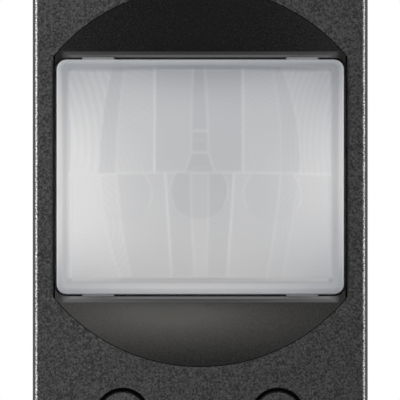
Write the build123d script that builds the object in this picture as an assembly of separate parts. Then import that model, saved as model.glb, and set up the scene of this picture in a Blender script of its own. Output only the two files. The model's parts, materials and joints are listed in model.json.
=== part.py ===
from build123d import *
import math
import os

# Two-module wall switch with a motion sensor.
# Lengths are in millimetres. X runs to the right, Z up, and the front faces -Y.
# The origin is the centre of the face outline, in the plane where the flange bears on its wall frame.

OVERRUN = 1.0  # how far a cut passes the surface that it opens
FLAT_GAP = 0.1  # play between flat faces that slide or drop into place
MOULD_GAP = 0.3  # play round one moulding inside another
SIDES = (-1, 1)

# Face and fascia
MODULE_PITCH = 22.4
MODULE_COUNT = 2
FACE_W = MODULE_PITCH * MODULE_COUNT
FACE_PROUD = 10.0
CORNER_R = 1.0
EDGE_R = 0.4
SIDE_LEAN = 0.4
FRONT_WALL = 2.0
SIDE_WALL = 1.4
FACE_Y = -FACE_PROUD
WALL_BACK_Y = FACE_Y + FRONT_WALL
INNER_X = FACE_W / 2 - SIDE_WALL

# Opening for the lens, and the scooped window round it, part of a sphere
WINDOW_BORDER = 2.95
WINDOW_X = FACE_W / 2 - WINDOW_BORDER
WINDOW_EDGE_R = 0.5
LENS_Z = 15.65
LENS_END_GAP = 0.25
OPENING_Z = LENS_Z + LENS_END_GAP
SCOOP_MARGIN = 0.228
SCOOP_R = math.hypot(WINDOW_X, OPENING_Z) + SCOOP_MARGIN
SCOOP_BALL_R = 110.0
SCOOP_BALL_Y = FACE_Y - math.sqrt(SCOOP_BALL_R**2 - SCOOP_R**2)

# Height of the face: the scoop and the buttons stand one above the other
FACE_TOP_MARGIN = 2.65
BEZEL_FOOT = 0.8
BUTTON_DROP = 1.45
BUTTON_FLANGE_R = 4.2
BUTTON_END_MARGIN = 6.2
BUTTON_STACK = BEZEL_FOOT + BUTTON_DROP + BUTTON_FLANGE_R + BUTTON_END_MARGIN
FACE_H = FACE_TOP_MARGIN + 2 * SCOOP_R + BUTTON_STACK
OPTIC_Z = FACE_H / 2 - FACE_TOP_MARGIN - SCOOP_R
BUTTON_Z = BUTTON_END_MARGIN - FACE_H / 2
INNER_Z = FACE_H / 2 - SIDE_WALL

# Lens: a rim, and a barrel that swells out of it
LENS_SIDE_GAP = 0.3
LENS_X = WINDOW_X - LENS_SIDE_GAP
LENS_CORNER_R = 1.35
RIM_PROUD = 0.3
RIM_T = 0.8
BARREL_RISE = 4.8
BARREL_WALL = 0.7
LENS_WALL = 1.0
LENS_FLANGE_T = 0.8
LENS_FLANGE_GAP = 0.4
BARREL_SIDE_BORDER = 0.8
CAP_TOP_BORDER = 0.85
CAP_BOTTOM_BORDER = 1.6
CAP_LEAN = 0.8
RIM_Y = FACE_Y - RIM_PROUD
CROWN_Y = RIM_Y - BARREL_RISE
BARREL_X = LENS_X - BARREL_SIDE_BORDER
BARREL_R = (BARREL_X**2 + BARREL_RISE**2) / (2 * BARREL_RISE)
BARREL_AXIS_Y = CROWN_Y + BARREL_R
BARREL_TOP_Z = OPTIC_Z + LENS_Z - CAP_TOP_BORDER
BARREL_FOOT_Z = OPTIC_Z - LENS_Z + CAP_BOTTOM_BORDER

# Lines between the segments of the lens, as shares of each row's half width or height
RIB_W = 0.3
RIB_FINE_W = 0.2
RIB_H = 0.12
RIB_ROOT = 0.3
PANEL_SIDE_BORDER = 2.05
PANEL_END_BORDER = 1.0
PANEL_X = LENS_X - PANEL_SIDE_BORDER
PANEL_TOP_Z = BARREL_TOP_Z - PANEL_END_BORDER
PANEL_FOOT_Z = BARREL_FOOT_Z + PANEL_END_BORDER
SPLIT_SHARE = 0.5
SPLIT_Z = PANEL_FOOT_Z + SPLIT_SHARE * (PANEL_TOP_Z - PANEL_FOOT_Z)
UPPER_LINE_SHARES = ((0.652, 0.777), (0.582, 0.645), (0.344, 0.344), (0.047, 0.074))
LOWER_LINE_SHARES = ((0.777, 0.637), (0.637, 0.531), (0.27, 0.223), (0.082, 0.059))
RUNG_SHARES = (0.138, 0.216, 0.43)
RUNG_X_SHARE = 0.074
LOBE_X_SHARE = 0.579
LOBE_R = 3.8
LOBE_DROP = 3.0

# Tongues of the lens that catch the edge of its opening
TONGUE_W = 4.3
TONGUE_T = 0.6
TONGUE_INSET = 5.55
TONGUE_X = LENS_X - TONGUE_INSET
TONGUE_SETBACK = 0.4
TONGUE_REACH = LENS_END_GAP - FLAT_GAP

# Bezel: the dish, the rails above and below the lens, and the tube behind
BEZEL_GAP = 0.1
BEZEL_FLANGE_T = 1.4
BEZEL_FLANGE_GAP = 0.4
DISH_WALL = 1.3
RAIL_T = 0.4
RAIL_SETBACK = 1.0
RAIL_LEAN_DEG = 14.0
RAIL_EDGE_R = 0.19
TUBE_WALL = 1.2
TUBE_LENGTH = 1.6
BEZEL_POST_R = 1.5
BEZEL_POST_INSET = 3.0
BEZEL_X = INNER_X - BEZEL_FLANGE_GAP
BEZEL_TOP_Z = INNER_Z - BEZEL_FLANGE_GAP
BEZEL_FOOT_Z = OPTIC_Z - SCOOP_R - BEZEL_FOOT
OPENING_R = LENS_CORNER_R + LENS_SIDE_GAP
BEZEL_BACK_Y = WALL_BACK_Y + BEZEL_FLANGE_T
TUBE_BACK_Y = BEZEL_BACK_Y + TUBE_LENGTH
LENS_BACK_Y = TUBE_BACK_Y + LENS_FLANGE_T

# Carrier: the plate between the front and the housing
PLATE_T = 1.6
PLATE_FRONT_Y = -PLATE_T
SEAT_RECESS = 0.1
LOCATING_WALL = 1.2
LOCATING_H = 2.4
CATCH_W = 6.0
CATCH_T = 1.0
CATCH_PROUD = 0.25
CATCH_INSET = 9.3
CATCH_BACK = 1.2
LOCATING_X = INNER_X - MOULD_GAP
LOCATING_Z = INNER_Z - MOULD_GAP
CATCH_Z = LOCATING_Z - CATCH_INSET

# Housing: a front tray and a rear box
TRAY_INSET_X = 0.8
TRAY_INSET_Z = 2.8
REAR_INSET = 10.5
HOUSING_DEPTH = 30.0
TRAY_SHARE = 0.2833
TRAY_DEPTH = HOUSING_DEPTH * TRAY_SHARE
HOUSING_WALL = 1.4
HOUSING_R = 1.0
HOUSING_EDGE_R = 0.6
LABEL_W = 30.0
LABEL_H = 14.0
LABEL_DEPTH = 0.3
LABEL_R = 1.0
LABEL_Z_SHARE = 0.35
TRAY_X = FACE_W / 2 - TRAY_INSET_X
TRAY_Z = FACE_H / 2 - TRAY_INSET_Z
REAR_Z = FACE_H / 2 - REAR_INSET
CAVITY_X = TRAY_X - HOUSING_WALL
REAR_Y = HOUSING_DEPTH

# Latches that hold the switch in its wall frame, and the carrier's legs in the housing
LATCH_GAP = 0.6
LATCH_T = 1.2
LATCH_W = 7.0
LATCH_X = 12.0
LATCH_LENGTH = 8.0
LATCH_BARB = 0.8
LATCH_BARB_START = 3.0
LATCH_BARB_T = 2.4
LEG_T = 0.9
LEG_W = 5.0
LEG_END_GAP = 0.7
LEG_TIP = 0.4
LEG_BARB = 0.7
LEG_BARB_T = 1.6
LEG_TOP_INSET = 6.2
LEG_FOOT_INSET = 12.2
LEG_LENGTH = TRAY_DEPTH - HOUSING_WALL - LEG_END_GAP
LEG_BARB_START = LEG_LENGTH - LEG_TIP - LEG_BARB_T
LEG_Z = (TRAY_Z - LEG_TOP_INSET, LEG_FOOT_INSET - TRAY_Z)
LEG_X = CAVITY_X - 2 * FLAT_GAP

# Sensor board
BOARD_SETBACK = 0.6
BOARD_T = 1.6
BOARD_GAP = 0.4
BOARD_END_GAP = 0.2
BOARD_X = CAVITY_X - BOARD_GAP
BOARD_Z = TRAY_Z - HOUSING_WALL - BOARD_END_GAP
BOARD_Y = BOARD_SETBACK
BOARD_BACK_Y = BOARD_Y + BOARD_T
PAD_R = 1.5
PAD_INSET_X = 2.8
PAD_INSET_Z = 4.4
LEDGE_R = 1.6
LEDGE_INSET = 1.9

# Shroud between the lens and the sensor board
SHROUD_WALL = 1.0
SHROUD_FLOOR_T = 1.0
SHROUD_FLOOR_GAP = 0.4
SHROUD_LEAN_DEG = 35.0
SHROUD_FOOT_R = 1.2
SHROUD_FOOT_X_SHARE = 0.8
SHROUD_FOOT_Z_SHARE = 0.8

# Pyroelectric sensor, photocell and lamp
PYRO_BASE_R = 4.55
PYRO_BASE_T = 0.4
PYRO_CAN_R = 4.1
PYRO_CAN_H = 3.8
PYRO_WINDOW_W = 4.0
PYRO_WINDOW_H = 3.2
PYRO_WINDOW_T = 0.4
PYRO_SPACER_R = 4.0
PYRO_SPACER_T = 1.2
PYRO_PIN_R = 0.25
PYRO_PIN_CIRCLE_R = 2.54
PYRO_PIN_DEGREES = (45, 135, 225)
PHOTOCELL_R = 2.5
PHOTOCELL_FLAT = 2.1
PHOTOCELL_H = 2.0
PHOTOCELL_TRACK = 0.4
PHOTOCELL_TRACK_DEPTH = 0.2
LED_R = 1.5
LED_BASE_R = 1.7
LED_BASE_T = 1.0
LED_H = 4.0
EYE_SPREAD_SHARE = 0.574
EYE_DROP_SHARE = 0.575
EYE_SPREAD = LENS_X * EYE_SPREAD_SHARE
EYE_DROP = LENS_Z * EYE_DROP_SHARE

# Push buttons and their tactile switches
BUTTON_X_SHARE = 0.231
BUTTON_X = FACE_W * BUTTON_X_SHARE
BUTTON_HOLE_R = 3.55
BUTTON_HOLE_EDGE_R = 0.25
BUTTON_GAP = 0.65
BUTTON_CAP_R = BUTTON_HOLE_R - BUTTON_GAP
BUTTON_EDGE_R = 0.5
BUTTON_FLANGE_T = 1.0
BUTTON_FLANGE_GAP = 0.2
BUTTON_STEM_R = 1.3
BUTTON_STEM_GAP = 0.05
BUTTON_TRAVEL = 0.5
GUIDE_WALL = 0.8
GUIDE_H = 1.8
TACT_W_SHARE = 0.58
TACT_W = BUTTON_X * TACT_W_SHARE
TACT_D = 3.5
TACT_H = 3.4
PLUNGER_R = 1.1
PLUNGER_GAP = 0.15
PLUNGER_PROUD = 1.0
PLUNGER_ROOT = 0.8
TACT_Y = BOARD_Y - TACT_H
PLUNGER_Y = TACT_Y - PLUNGER_PROUD

# Trimmers for the time and for the light level
TRIMMER_W_SHARE = 0.58
TRIMMER_X_SHARE = 0.348
TRIMMER_W = BUTTON_X * TRIMMER_W_SHARE
TRIMMER_H = 3.0
TRIMMER_X = BUTTON_X * TRIMMER_X_SHARE
TRIMMER_RISE = 2.6
TRIMMER_ROTOR_SHARE = 0.367
TRIMMER_ROTOR_R = TRIMMER_W * TRIMMER_ROTOR_SHARE
TRIMMER_ROTOR_GAP = 0.1
TRIMMER_ROTOR_T = 1.6
TRIMMER_ROTOR_PROUD = 0.3
TRIMMER_SLOT_W = 0.6
TRIMMER_SLOT_DEPTH = 0.7
TRIMMER_ARROW = 0.9
TRIMMER_Y = BOARD_Y - TRIMMER_H
TRIMMER_Z = BUTTON_Z + TRIMMER_RISE

# Windows in the carrier for the switches and trimmers
CONTROL_GAP = 0.3

# Chips and the connector between the boards
CHIP_W = 7.0
CHIP_T = 1.2
CHIP_X = -7.0
CHIP_Z = 1.0
CHIP_LEAD_COUNT = 8
CHIP_LEAD_PITCH = 0.8
CHIP_LEAD_W = 0.35
CHIP_LEAD_LENGTH = 0.9
CHIP_LEAD_T = 0.2
HEADER_PIN_COUNT = 6
HEADER_PITCH = 2.54
HEADER_PIN_W = 0.64
HEADER_W = 2.5
HEADER_H = 2.5
HEADER_Z_SHARE = 0.725

# Power board, and the corner ribs that it stops against
POWER_BOARD_GAP = 1.0
POWER_BOARD_T = 1.6
RIB_CORNER_W = 3.0
POWER_X = CAVITY_X - BOARD_GAP
POWER_Z = REAR_Z - HOUSING_WALL - BOARD_GAP
POWER_Y = TRAY_DEPTH + POWER_BOARD_GAP
POWER_BACK_Y = POWER_Y + POWER_BOARD_T
HEADER_Z = HEADER_Z_SHARE * POWER_Z

# Terminals: one-pole blocks in the lower rear corner, each with a rising cage
TERMINAL_COUNT = 4
TERMINAL_MARGIN = 2.4
TERMINAL_PITCH = (FACE_W - 2 * TERMINAL_MARGIN) / TERMINAL_COUNT
TERMINAL_GAP = 0.2
TERMINAL_H = 10.3
TERMINAL_WALL = 1.0
WEB_T = 0.6
WIRE_R = 1.7
HEAD_R = 2.5
HEAD_T = 1.65
HEAD_SINK = 0.3
HEAD_GAP = 0.2
HEAD_SLOT_W = 0.8
HEAD_SLOT_DEPTH = 0.8
SHANK_R = 1.75
THREAD_GAP = 0.05
THREAD_PITCH = 0.6
TURNS = 4
CAGE_TRAVEL = THREAD_PITCH * TURNS
CAGE_W = 5.8
CAGE_H = 5.6
CAGE_WALL = 0.8
CAGE_NUT_T = 1.2
CAGE_JAW_T = 1.0
BAR_W = 3.8
BAR_T = 0.9
BAR_GAP = 0.2
BAR_TAIL = 1.2
TERMINAL_W = TERMINAL_PITCH - TERMINAL_GAP
TERMINAL_FOOT_Z = -REAR_Z
TERMINAL_TOP_Z = TERMINAL_FOOT_Z + TERMINAL_H
CAGE_Z = TERMINAL_FOOT_Z + TERMINAL_H / 2
HEAD_BACK_Y = REAR_Y - HEAD_SINK
HEAD_FRONT_Y = HEAD_BACK_Y - HEAD_T
WEB_BACK_Y = HEAD_FRONT_Y - FLAT_GAP
WEB_FRONT_Y = WEB_BACK_Y - WEB_T
CAGE_BACK_Y = WEB_FRONT_Y - FLAT_GAP - CAGE_TRAVEL
NUT_FRONT_Y = CAGE_BACK_Y - CAGE_NUT_T
BAR_BACK_Y = NUT_FRONT_Y - BAR_GAP
BAR_FRONT_Y = BAR_BACK_Y - BAR_T
JAW_BACK_Y = BAR_FRONT_Y - 2 * WIRE_R
CAGE_FRONT_Y = JAW_BACK_Y - CAGE_JAW_T
CAGE_CAVITY_Y = CAGE_FRONT_Y - TERMINAL_GAP
TERMINAL_FRONT_Y = CAGE_CAVITY_Y - TERMINAL_WALL
WIRE_Y = JAW_BACK_Y + WIRE_R

# Corner of the housing that the terminals stand in
NICHE_GAP = 0.2
NICHE_WALL = 1.2
NICHE_X = CAVITY_X
NICHE_TOP_Z = TERMINAL_TOP_Z + NICHE_GAP
NICHE_FRONT_Y = TERMINAL_FRONT_Y - NICHE_GAP

# Room on the power board between the terminals and its top edge, and behind it to the housing's rear wall
BAY_FOOT_Z = NICHE_TOP_Z + NICHE_WALL + BAR_TAIL
BAY_H = POWER_Z - BAY_FOOT_Z
BAY_DEPTH = REAR_Y - HOUSING_WALL - POWER_BACK_Y

# Parts on the power board: widths and radii are shares of its half width,
# heights are shares of the bay's height, and depths of its depth.
# A place is a share of the half width, and one of the bay's height from its foot.
RELAY_SIZE_SHARES = (0.99, 0.522, 0.869)
RELAY_PLACE_SHARES = (-0.37, 0.665)
RELAY_EDGE_R = 0.8
FILM_SIZE_SHARES = (0.677, 0.2155, 0.686)
FILM_PLACE_SHARES = (0.53, 0.7835)
FILM_EDGE_R = 0.6
CAN_R_SHARE = 0.208
CAN_T_SHARE = 0.714
CAN_GROOVE = 0.35
CAN_GROOVE_W = 0.8
CAN_PLACE_SHARES = (0.44, 0.4857)
DISC_R_SHARE = 0.148
DISC_T = 3.6
DISC_LEAD_R = 0.35
DISC_LEAD_SHARE = 0.57
DISC_LEAD_LENGTH = 1.0
DISC_PLACE_SHARES = (-0.76, 0.188)
CORE_R_SHARE = 0.1875
CORE_T_SHARE = 0.457
CORE_FLANGE_T = 1.2
CORE_RIM = 0.4
CORE_SPINDLE_SHARE = 0.5
CORE_PLACE_SHARES = (-0.4, 0.1677)
FUSE_SIZE_SHARES = (0.4375, 0.1347, 0.457)
FUSE_PLACE_SHARES = (0.03, 0.188)
BRIDGE_SIZE_SHARES = (0.3125, 0.155, 0.137)
BRIDGE_PLACE_SHARES = (0.82, 0.4926)
REGULATOR_SIZE_SHARES = (0.3385, 0.118, 0.103)
REGULATOR_TAB_SHARES = (0.156, 0.054, 0.023)
REGULATOR_PLACE_SHARES = (0.52, 0.1744)
CAN_R = CAN_R_SHARE * POWER_X
CAN_T = CAN_T_SHARE * BAY_DEPTH
DISC_R = DISC_R_SHARE * BAY_H
DISC_LEAD_SPREAD = DISC_LEAD_SHARE * DISC_R
CORE_R = CORE_R_SHARE * POWER_X
CORE_T = CORE_T_SHARE * BAY_DEPTH
CORE_SPINDLE_R = CORE_SPINDLE_SHARE * CORE_R
WINDING_R = CORE_R - CORE_RIM


def slab(outline, front, back):
    """Extrudes an outline drawn in X and Z between two depths."""
    return extrude(Plane.XZ.offset(-front) * outline, amount=back - front, dir=(0, 1, 0))


def tapered(outline, front, back, lean_deg):
    """Extrudes an outline drawn in X and Z rearwards, leaning inwards by an angle."""
    return extrude(Plane.XZ.offset(-front) * outline, amount=front - back, taper=lean_deg)


def block(x, z, width, height, front, back):
    """A square-cornered block centred at a place on the face."""
    return slab(Pos(x, z) * Rectangle(width, height), front, back)


def rounded(x, z, width, height, radius, front, back):
    """A block with rounded corners, seen from the front."""
    return slab(Pos(x, z) * RectangleRounded(width, height, radius), front, back)


def rod(x, z, radius, front, back):
    """A round bar that runs from front to back."""
    return slab(Pos(x, z) * Circle(radius), front, back)


def between(low_x, high_x, low_z, high_z, front, back):
    """A block given by its limits."""
    middle = Pos((low_x + high_x) / 2, (low_z + high_z) / 2)
    return slab(middle * Rectangle(high_x - low_x, high_z - low_z), front, back)


def edges_at(shape, depth):
    """The edges that lie wholly at one depth."""
    return shape.edges().filter_by_position(Axis.Y, depth, depth)


def window_outline(gap):
    """The scoop's circle cut off at both sides, drawn smaller by a gap."""
    circle = Pos(0, OPTIC_Z) * Circle(SCOOP_R - gap)
    band = Pos(0, OPTIC_Z) * Rectangle(2 * (WINDOW_X - gap), 2 * SCOOP_R)
    return circle & band


def fascia():
    """Front cover: a leaning box with the scooped window and two button holes."""
    lean_deg = math.degrees(math.atan(SIDE_LEAN / (FACE_PROUD - PLATE_T)))
    back = Plane.XZ.offset(-PLATE_FRONT_Y) * RectangleRounded(FACE_W, FACE_H, CORNER_R)
    cover = extrude(back, amount=FACE_PROUD - PLATE_T, taper=lean_deg)
    cover = fillet(edges_at(cover, FACE_Y), EDGE_R)
    cover -= block(0, 0, 2 * INNER_X, 2 * INNER_Z, WALL_BACK_Y, PLATE_FRONT_Y + OVERRUN)
    guide_r = BUTTON_FLANGE_R + MOULD_GAP
    for side in SIDES:
        x = side * BUTTON_X
        cover += rod(x, BUTTON_Z, guide_r + GUIDE_WALL, WALL_BACK_Y, WALL_BACK_Y + GUIDE_H)
        cover -= rod(x, BUTTON_Z, guide_r, WALL_BACK_Y, WALL_BACK_Y + GUIDE_H + OVERRUN)
        cover -= rod(x, BUTTON_Z, BUTTON_HOLE_R, FACE_Y - OVERRUN, WALL_BACK_Y + OVERRUN)
    holes = edges_at(cover, FACE_Y).filter_by(GeomType.CIRCLE)
    holes = [edge for edge in holes if abs(edge.radius - BUTTON_HOLE_R) < BUTTON_HOLE_EDGE_R]
    cover = fillet(holes, BUTTON_HOLE_EDGE_R)
    cover -= slab(window_outline(0), FACE_Y - OVERRUN, WALL_BACK_Y + OVERRUN)
    sides = edges_at(cover, FACE_Y).filter_by(GeomType.LINE).filter_by(Axis.Z)
    sides = [edge for edge in sides if abs(edge.center().X) < WINDOW_X + EDGE_R]
    cover = fillet(sides, WINDOW_EDGE_R)
    for side in SIDES:
        for z in (CATCH_Z, -CATCH_Z):
            cover -= catch(side, z, 2 * CATCH_PROUD, MOULD_GAP)
    return cover


def catch(side, z, reach, gap):
    """A catch on the carrier's locating rim, or its pocket in the fascia when given a gap."""
    inner = LOCATING_X - LOCATING_WALL / 2
    outer = LOCATING_X + MOULD_GAP + reach
    front = PLATE_FRONT_Y - CATCH_BACK - CATCH_T - gap
    back = PLATE_FRONT_Y - CATCH_BACK + gap
    x = side * (inner + outer) / 2
    return block(x, z, outer - inner, CATCH_W + 2 * gap, front, back)


def bezel_posts():
    """Four posts that stand the bezel off the carrier's plate."""
    x = BEZEL_X - BEZEL_POST_INSET
    heights = (BEZEL_TOP_Z - BEZEL_POST_INSET, BEZEL_FOOT_Z + BEZEL_POST_INSET)
    front = BEZEL_BACK_Y - BEZEL_FLANGE_T / 2
    return [rod(side * x, z, BEZEL_POST_R, front, PLATE_FRONT_Y) for side in SIDES for z in heights]


def rail(end):
    """A rail along one end of the lens, round at its front and leaning towards its foot."""
    inner, outer = end * OPENING_Z, end * (OPENING_Z + RAIL_T)
    front_y = FACE_Y + RAIL_SETBACK
    foot = outer + end * (TUBE_BACK_Y - front_y) * math.tan(math.radians(RAIL_LEAN_DEG))
    outline = Polygon((front_y, inner), (front_y, outer), (TUBE_BACK_Y, foot), (TUBE_BACK_Y, inner), align=None)
    front = outline.vertices().filter_by_position(Axis.X, front_y, front_y)
    return Pos(0, 0, OPTIC_Z) * extrude(Plane.YZ * fillet(front, RAIL_EDGE_R), amount=WINDOW_X, both=True)


def sensor_bezel():
    """Dark dish round the lens, with its rails, its flange behind the fascia and its tube."""
    ball = Pos(0, SCOOP_BALL_Y, OPTIC_Z)
    outline = window_outline(BEZEL_GAP)
    body = slab(outline, FACE_Y, BEZEL_BACK_Y)
    body += between(-BEZEL_X, BEZEL_X, BEZEL_FOOT_Z, BEZEL_TOP_Z, WALL_BACK_Y, BEZEL_BACK_Y)
    body += slab(outline, FACE_Y, TUBE_BACK_Y) & (ball * Sphere(SCOOP_BALL_R + DISH_WALL))
    body -= ball * Sphere(SCOOP_BALL_R)
    for end in SIDES:
        body += rail(end) & slab(outline, FACE_Y, TUBE_BACK_Y)
    tube_z = OPENING_Z + TUBE_WALL
    body += block(0, OPTIC_Z, 2 * BEZEL_X, 2 * tube_z, WALL_BACK_Y, TUBE_BACK_Y)
    opening = Pos(0, OPTIC_Z) * RectangleRounded(2 * WINDOW_X, 2 * OPENING_Z, OPENING_R)
    body += bezel_posts()
    return body - slab(opening, FACE_Y - OVERRUN, TUBE_BACK_Y + OVERRUN)


def barrel(radius, inset, back):
    """The swelling of the lens: a segment of an upright cylinder with leaning ends."""
    plan = Pos(0, BARREL_AXIS_Y) * Circle(radius)
    depth = back - CROWN_Y + OVERRUN
    plan &= Pos(0, back - depth / 2) * Rectangle(2 * (BARREL_X - inset), depth)
    top, foot = BARREL_TOP_Z - inset, BARREL_FOOT_Z + inset
    column = Pos(0, 0, foot) * extrude(plan, amount=top - foot)
    ends = Polygon(
        (back, foot),
        (RIM_Y, foot),
        (CROWN_Y, foot + CAP_LEAN),
        (CROWN_Y, top - CAP_LEAN),
        (RIM_Y, top),
        (back, top),
        align=None,
    )
    return column & extrude(Plane.YZ * ends, amount=BARREL_X, both=True)


def line(top, foot, top_z, foot_z, width):
    """A flat strip between two points, drawn on the face."""
    half = width / 2
    corners = ((foot - half, foot_z), (foot + half, foot_z), (top + half, top_z), (top - half, top_z))
    return Polygon(*corners, align=None)


def ring(x, z, radius, width):
    """A flat ring drawn on the face."""
    return Pos(x, z) * (Circle(radius + width / 2) - Circle(radius - width / 2))


def segment_lines():
    """The pattern of lines between the lens segments, drawn on the face."""
    rows = ((UPPER_LINE_SHARES, PANEL_TOP_Z, SPLIT_Z), (LOWER_LINE_SHARES, SPLIT_Z, PANEL_FOOT_Z))
    pattern = line(0, 0, SPLIT_Z + RIB_W / 2, SPLIT_Z - RIB_W / 2, 2 * PANEL_X)
    for shares, top_z, foot_z in rows:
        for top_share, foot_share in shares:
            for side in SIDES:
                top, foot = side * top_share * PANEL_X, side * foot_share * PANEL_X
                pattern += line(top, foot, top_z, foot_z, RIB_W)
    for share in RUNG_SHARES:
        z = SPLIT_Z + share * (PANEL_TOP_Z - SPLIT_Z)
        pattern += line(0, 0, z + RIB_FINE_W / 2, z - RIB_FINE_W / 2, 2 * RUNG_X_SHARE * PANEL_X)
    return pattern + lobes()


def lobes():
    """Three round lobes that hang below the line between the rows."""
    z = SPLIT_Z - LOBE_DROP
    x = LOBE_X_SHARE * PANEL_X
    middle = ring(0, z, LOBE_R, RIB_FINE_W)
    outer = ring(-x, z, LOBE_R, RIB_FINE_W) + ring(x, z, LOBE_R, RIB_FINE_W)
    height = LOBE_R + LOBE_DROP + RIB_W
    below = Pos(0, SPLIT_Z - height / 2) * Rectangle(2 * x, height)
    return (middle + outer) & below


def lens():
    """White lens: rim, barrel with raised segment lines, side walls, flange and tongues."""
    body = rounded(0, OPTIC_Z, 2 * LENS_X, 2 * LENS_Z, LENS_CORNER_R, RIM_Y, TUBE_BACK_Y)
    flange_x = BEZEL_X - LENS_FLANGE_GAP
    flange_z = OPENING_Z + LENS_WALL
    body += rounded(0, OPTIC_Z, 2 * flange_x, 2 * flange_z, OPENING_R, TUBE_BACK_Y, LENS_BACK_Y)
    body += barrel(BARREL_R, 0, RIM_Y + RIM_T / 2)
    inner_x, inner_z = LENS_X - LENS_WALL, LENS_Z - LENS_WALL
    body -= block(0, OPTIC_Z, 2 * inner_x, 2 * inner_z, RIM_Y + RIM_T, LENS_BACK_Y + OVERRUN)
    body -= barrel(BARREL_R - BARREL_WALL, LENS_WALL, RIM_Y + RIM_T + OVERRUN)
    skin = barrel(BARREL_R + RIB_H, 0, RIM_Y + RIM_T / 2) - barrel(BARREL_R - RIB_ROOT, 0, RIM_Y + RIM_T)
    body += skin & slab(segment_lines(), CROWN_Y - OVERRUN, RIM_Y)
    front = FACE_Y + RAIL_SETBACK + TONGUE_SETBACK
    back = front + TONGUE_T
    for side in SIDES:
        x = side * TONGUE_X
        tongues = block(x, OPTIC_Z, TONGUE_W, 2 * (LENS_Z + TONGUE_REACH), front, back)
        body += tongues - block(x, OPTIC_Z, TONGUE_W, 2 * inner_z, front, back)
    return body


def optic_shroud():
    """Black tub that carries the lens and keeps stray light off the sensor."""
    back = BOARD_Y - SHROUD_FLOOR_GAP
    floor = back - SHROUD_FLOOR_T
    tub = rounded(0, OPTIC_Z, 2 * LENS_X, 2 * LENS_Z, LENS_CORNER_R, LENS_BACK_Y, back)
    mouth = Pos(0, OPTIC_Z) * Rectangle(2 * (LENS_X - SHROUD_WALL), 2 * (LENS_Z - SHROUD_WALL))
    tub -= tapered(mouth, LENS_BACK_Y, floor, SHROUD_LEAN_DEG)
    tub -= rod(0, OPTIC_Z, PYRO_BASE_R + MOULD_GAP, floor - OVERRUN, back + OVERRUN)
    tub -= rod(EYE_SPREAD, OPTIC_Z - EYE_DROP, PHOTOCELL_R + MOULD_GAP, floor - OVERRUN, back + OVERRUN)
    tub -= rod(-EYE_SPREAD, OPTIC_Z - EYE_DROP, LED_BASE_R + MOULD_GAP, floor - OVERRUN, back + OVERRUN)
    for side in SIDES:
        for end in SIDES:
            x = side * SHROUD_FOOT_X_SHARE * LENS_X
            z = OPTIC_Z + end * SHROUD_FOOT_Z_SHARE * LENS_Z
            tub += rod(x, z, SHROUD_FOOT_R, back - SHROUD_FLOOR_T / 2, BOARD_Y)
    return tub


def sensor_board():
    """Front circuit board, notched for the carrier's legs."""
    board = block(0, 0, 2 * BOARD_X, 2 * BOARD_Z, BOARD_Y, BOARD_BACK_Y)
    for side in SIDES:
        for z in LEG_Z:
            notch = LEG_W + 2 * BOARD_GAP
            depth = 2 * (BOARD_X - LEG_X + LEG_T + MOULD_GAP)
            board -= block(side * BOARD_X, z, depth, notch, BOARD_Y - OVERRUN, BOARD_BACK_Y + OVERRUN)
    return board


def pyro_can():
    """Metal can of the heat sensor, with a recess for its window."""
    base_y = BOARD_Y - PYRO_SPACER_T
    rim_y = base_y - PYRO_BASE_T
    front = rim_y - PYRO_CAN_H
    can = rod(0, OPTIC_Z, PYRO_BASE_R, rim_y, base_y) + rod(0, OPTIC_Z, PYRO_CAN_R, front, rim_y)
    return can - block(0, OPTIC_Z, PYRO_WINDOW_W, PYRO_WINDOW_H, front, front + PYRO_WINDOW_T)


def pyro_window():
    """Dark filter in the front of the can."""
    front = BOARD_Y - PYRO_SPACER_T - PYRO_BASE_T - PYRO_CAN_H
    return block(0, OPTIC_Z, PYRO_WINDOW_W, PYRO_WINDOW_H, front, front + PYRO_WINDOW_T)


def pyro_pin_places():
    """Three pins on a circle, a quarter turn apart."""
    angles = [math.radians(degrees) for degrees in PYRO_PIN_DEGREES]
    radius = PYRO_PIN_CIRCLE_R
    return [(radius * math.cos(angle), OPTIC_Z + radius * math.sin(angle)) for angle in angles]


def pyro_spacer():
    """Plastic disc that stands the can off the board, with holes for the pins."""
    disc = rod(0, OPTIC_Z, PYRO_SPACER_R, BOARD_Y - PYRO_SPACER_T, BOARD_Y)
    for x, z in pyro_pin_places():
        disc -= rod(x, z, PYRO_PIN_R + FLAT_GAP, BOARD_Y - PYRO_SPACER_T - OVERRUN, BOARD_Y + OVERRUN)
    return disc


def pyro_pins():
    """The three legs of the can, down to the board."""
    return [rod(x, z, PYRO_PIN_R, BOARD_Y - PYRO_SPACER_T, BOARD_Y) for x, z in pyro_pin_places()]


def photocell():
    """Light sensor: a disc with two flats and a winding track on its face."""
    x, z = EYE_SPREAD, OPTIC_Z - EYE_DROP
    outline = Circle(PHOTOCELL_R) & Rectangle(2 * PHOTOCELL_R, 2 * PHOTOCELL_FLAT)
    body = slab(Pos(x, z) * outline, BOARD_Y - PHOTOCELL_H, BOARD_Y)
    front = BOARD_Y - PHOTOCELL_H
    width = PHOTOCELL_R + PHOTOCELL_TRACK
    for row in (-1, 0, 1):
        height = z + row * 2 * PHOTOCELL_TRACK
        body -= block(x, height, width, PHOTOCELL_TRACK, front, front + PHOTOCELL_TRACK_DEPTH)
    return body


def indicator_led():
    """Small lamp with a domed front and a collar."""
    x, z = -EYE_SPREAD, OPTIC_Z - EYE_DROP
    shoulder = BOARD_Y - LED_H + LED_R
    lamp = rod(x, z, LED_R, shoulder, BOARD_Y) + rod(x, z, LED_BASE_R, BOARD_Y - LED_BASE_T, BOARD_Y)
    dome = Pos(x, shoulder, z) * Sphere(LED_R)
    return lamp + dome


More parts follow.
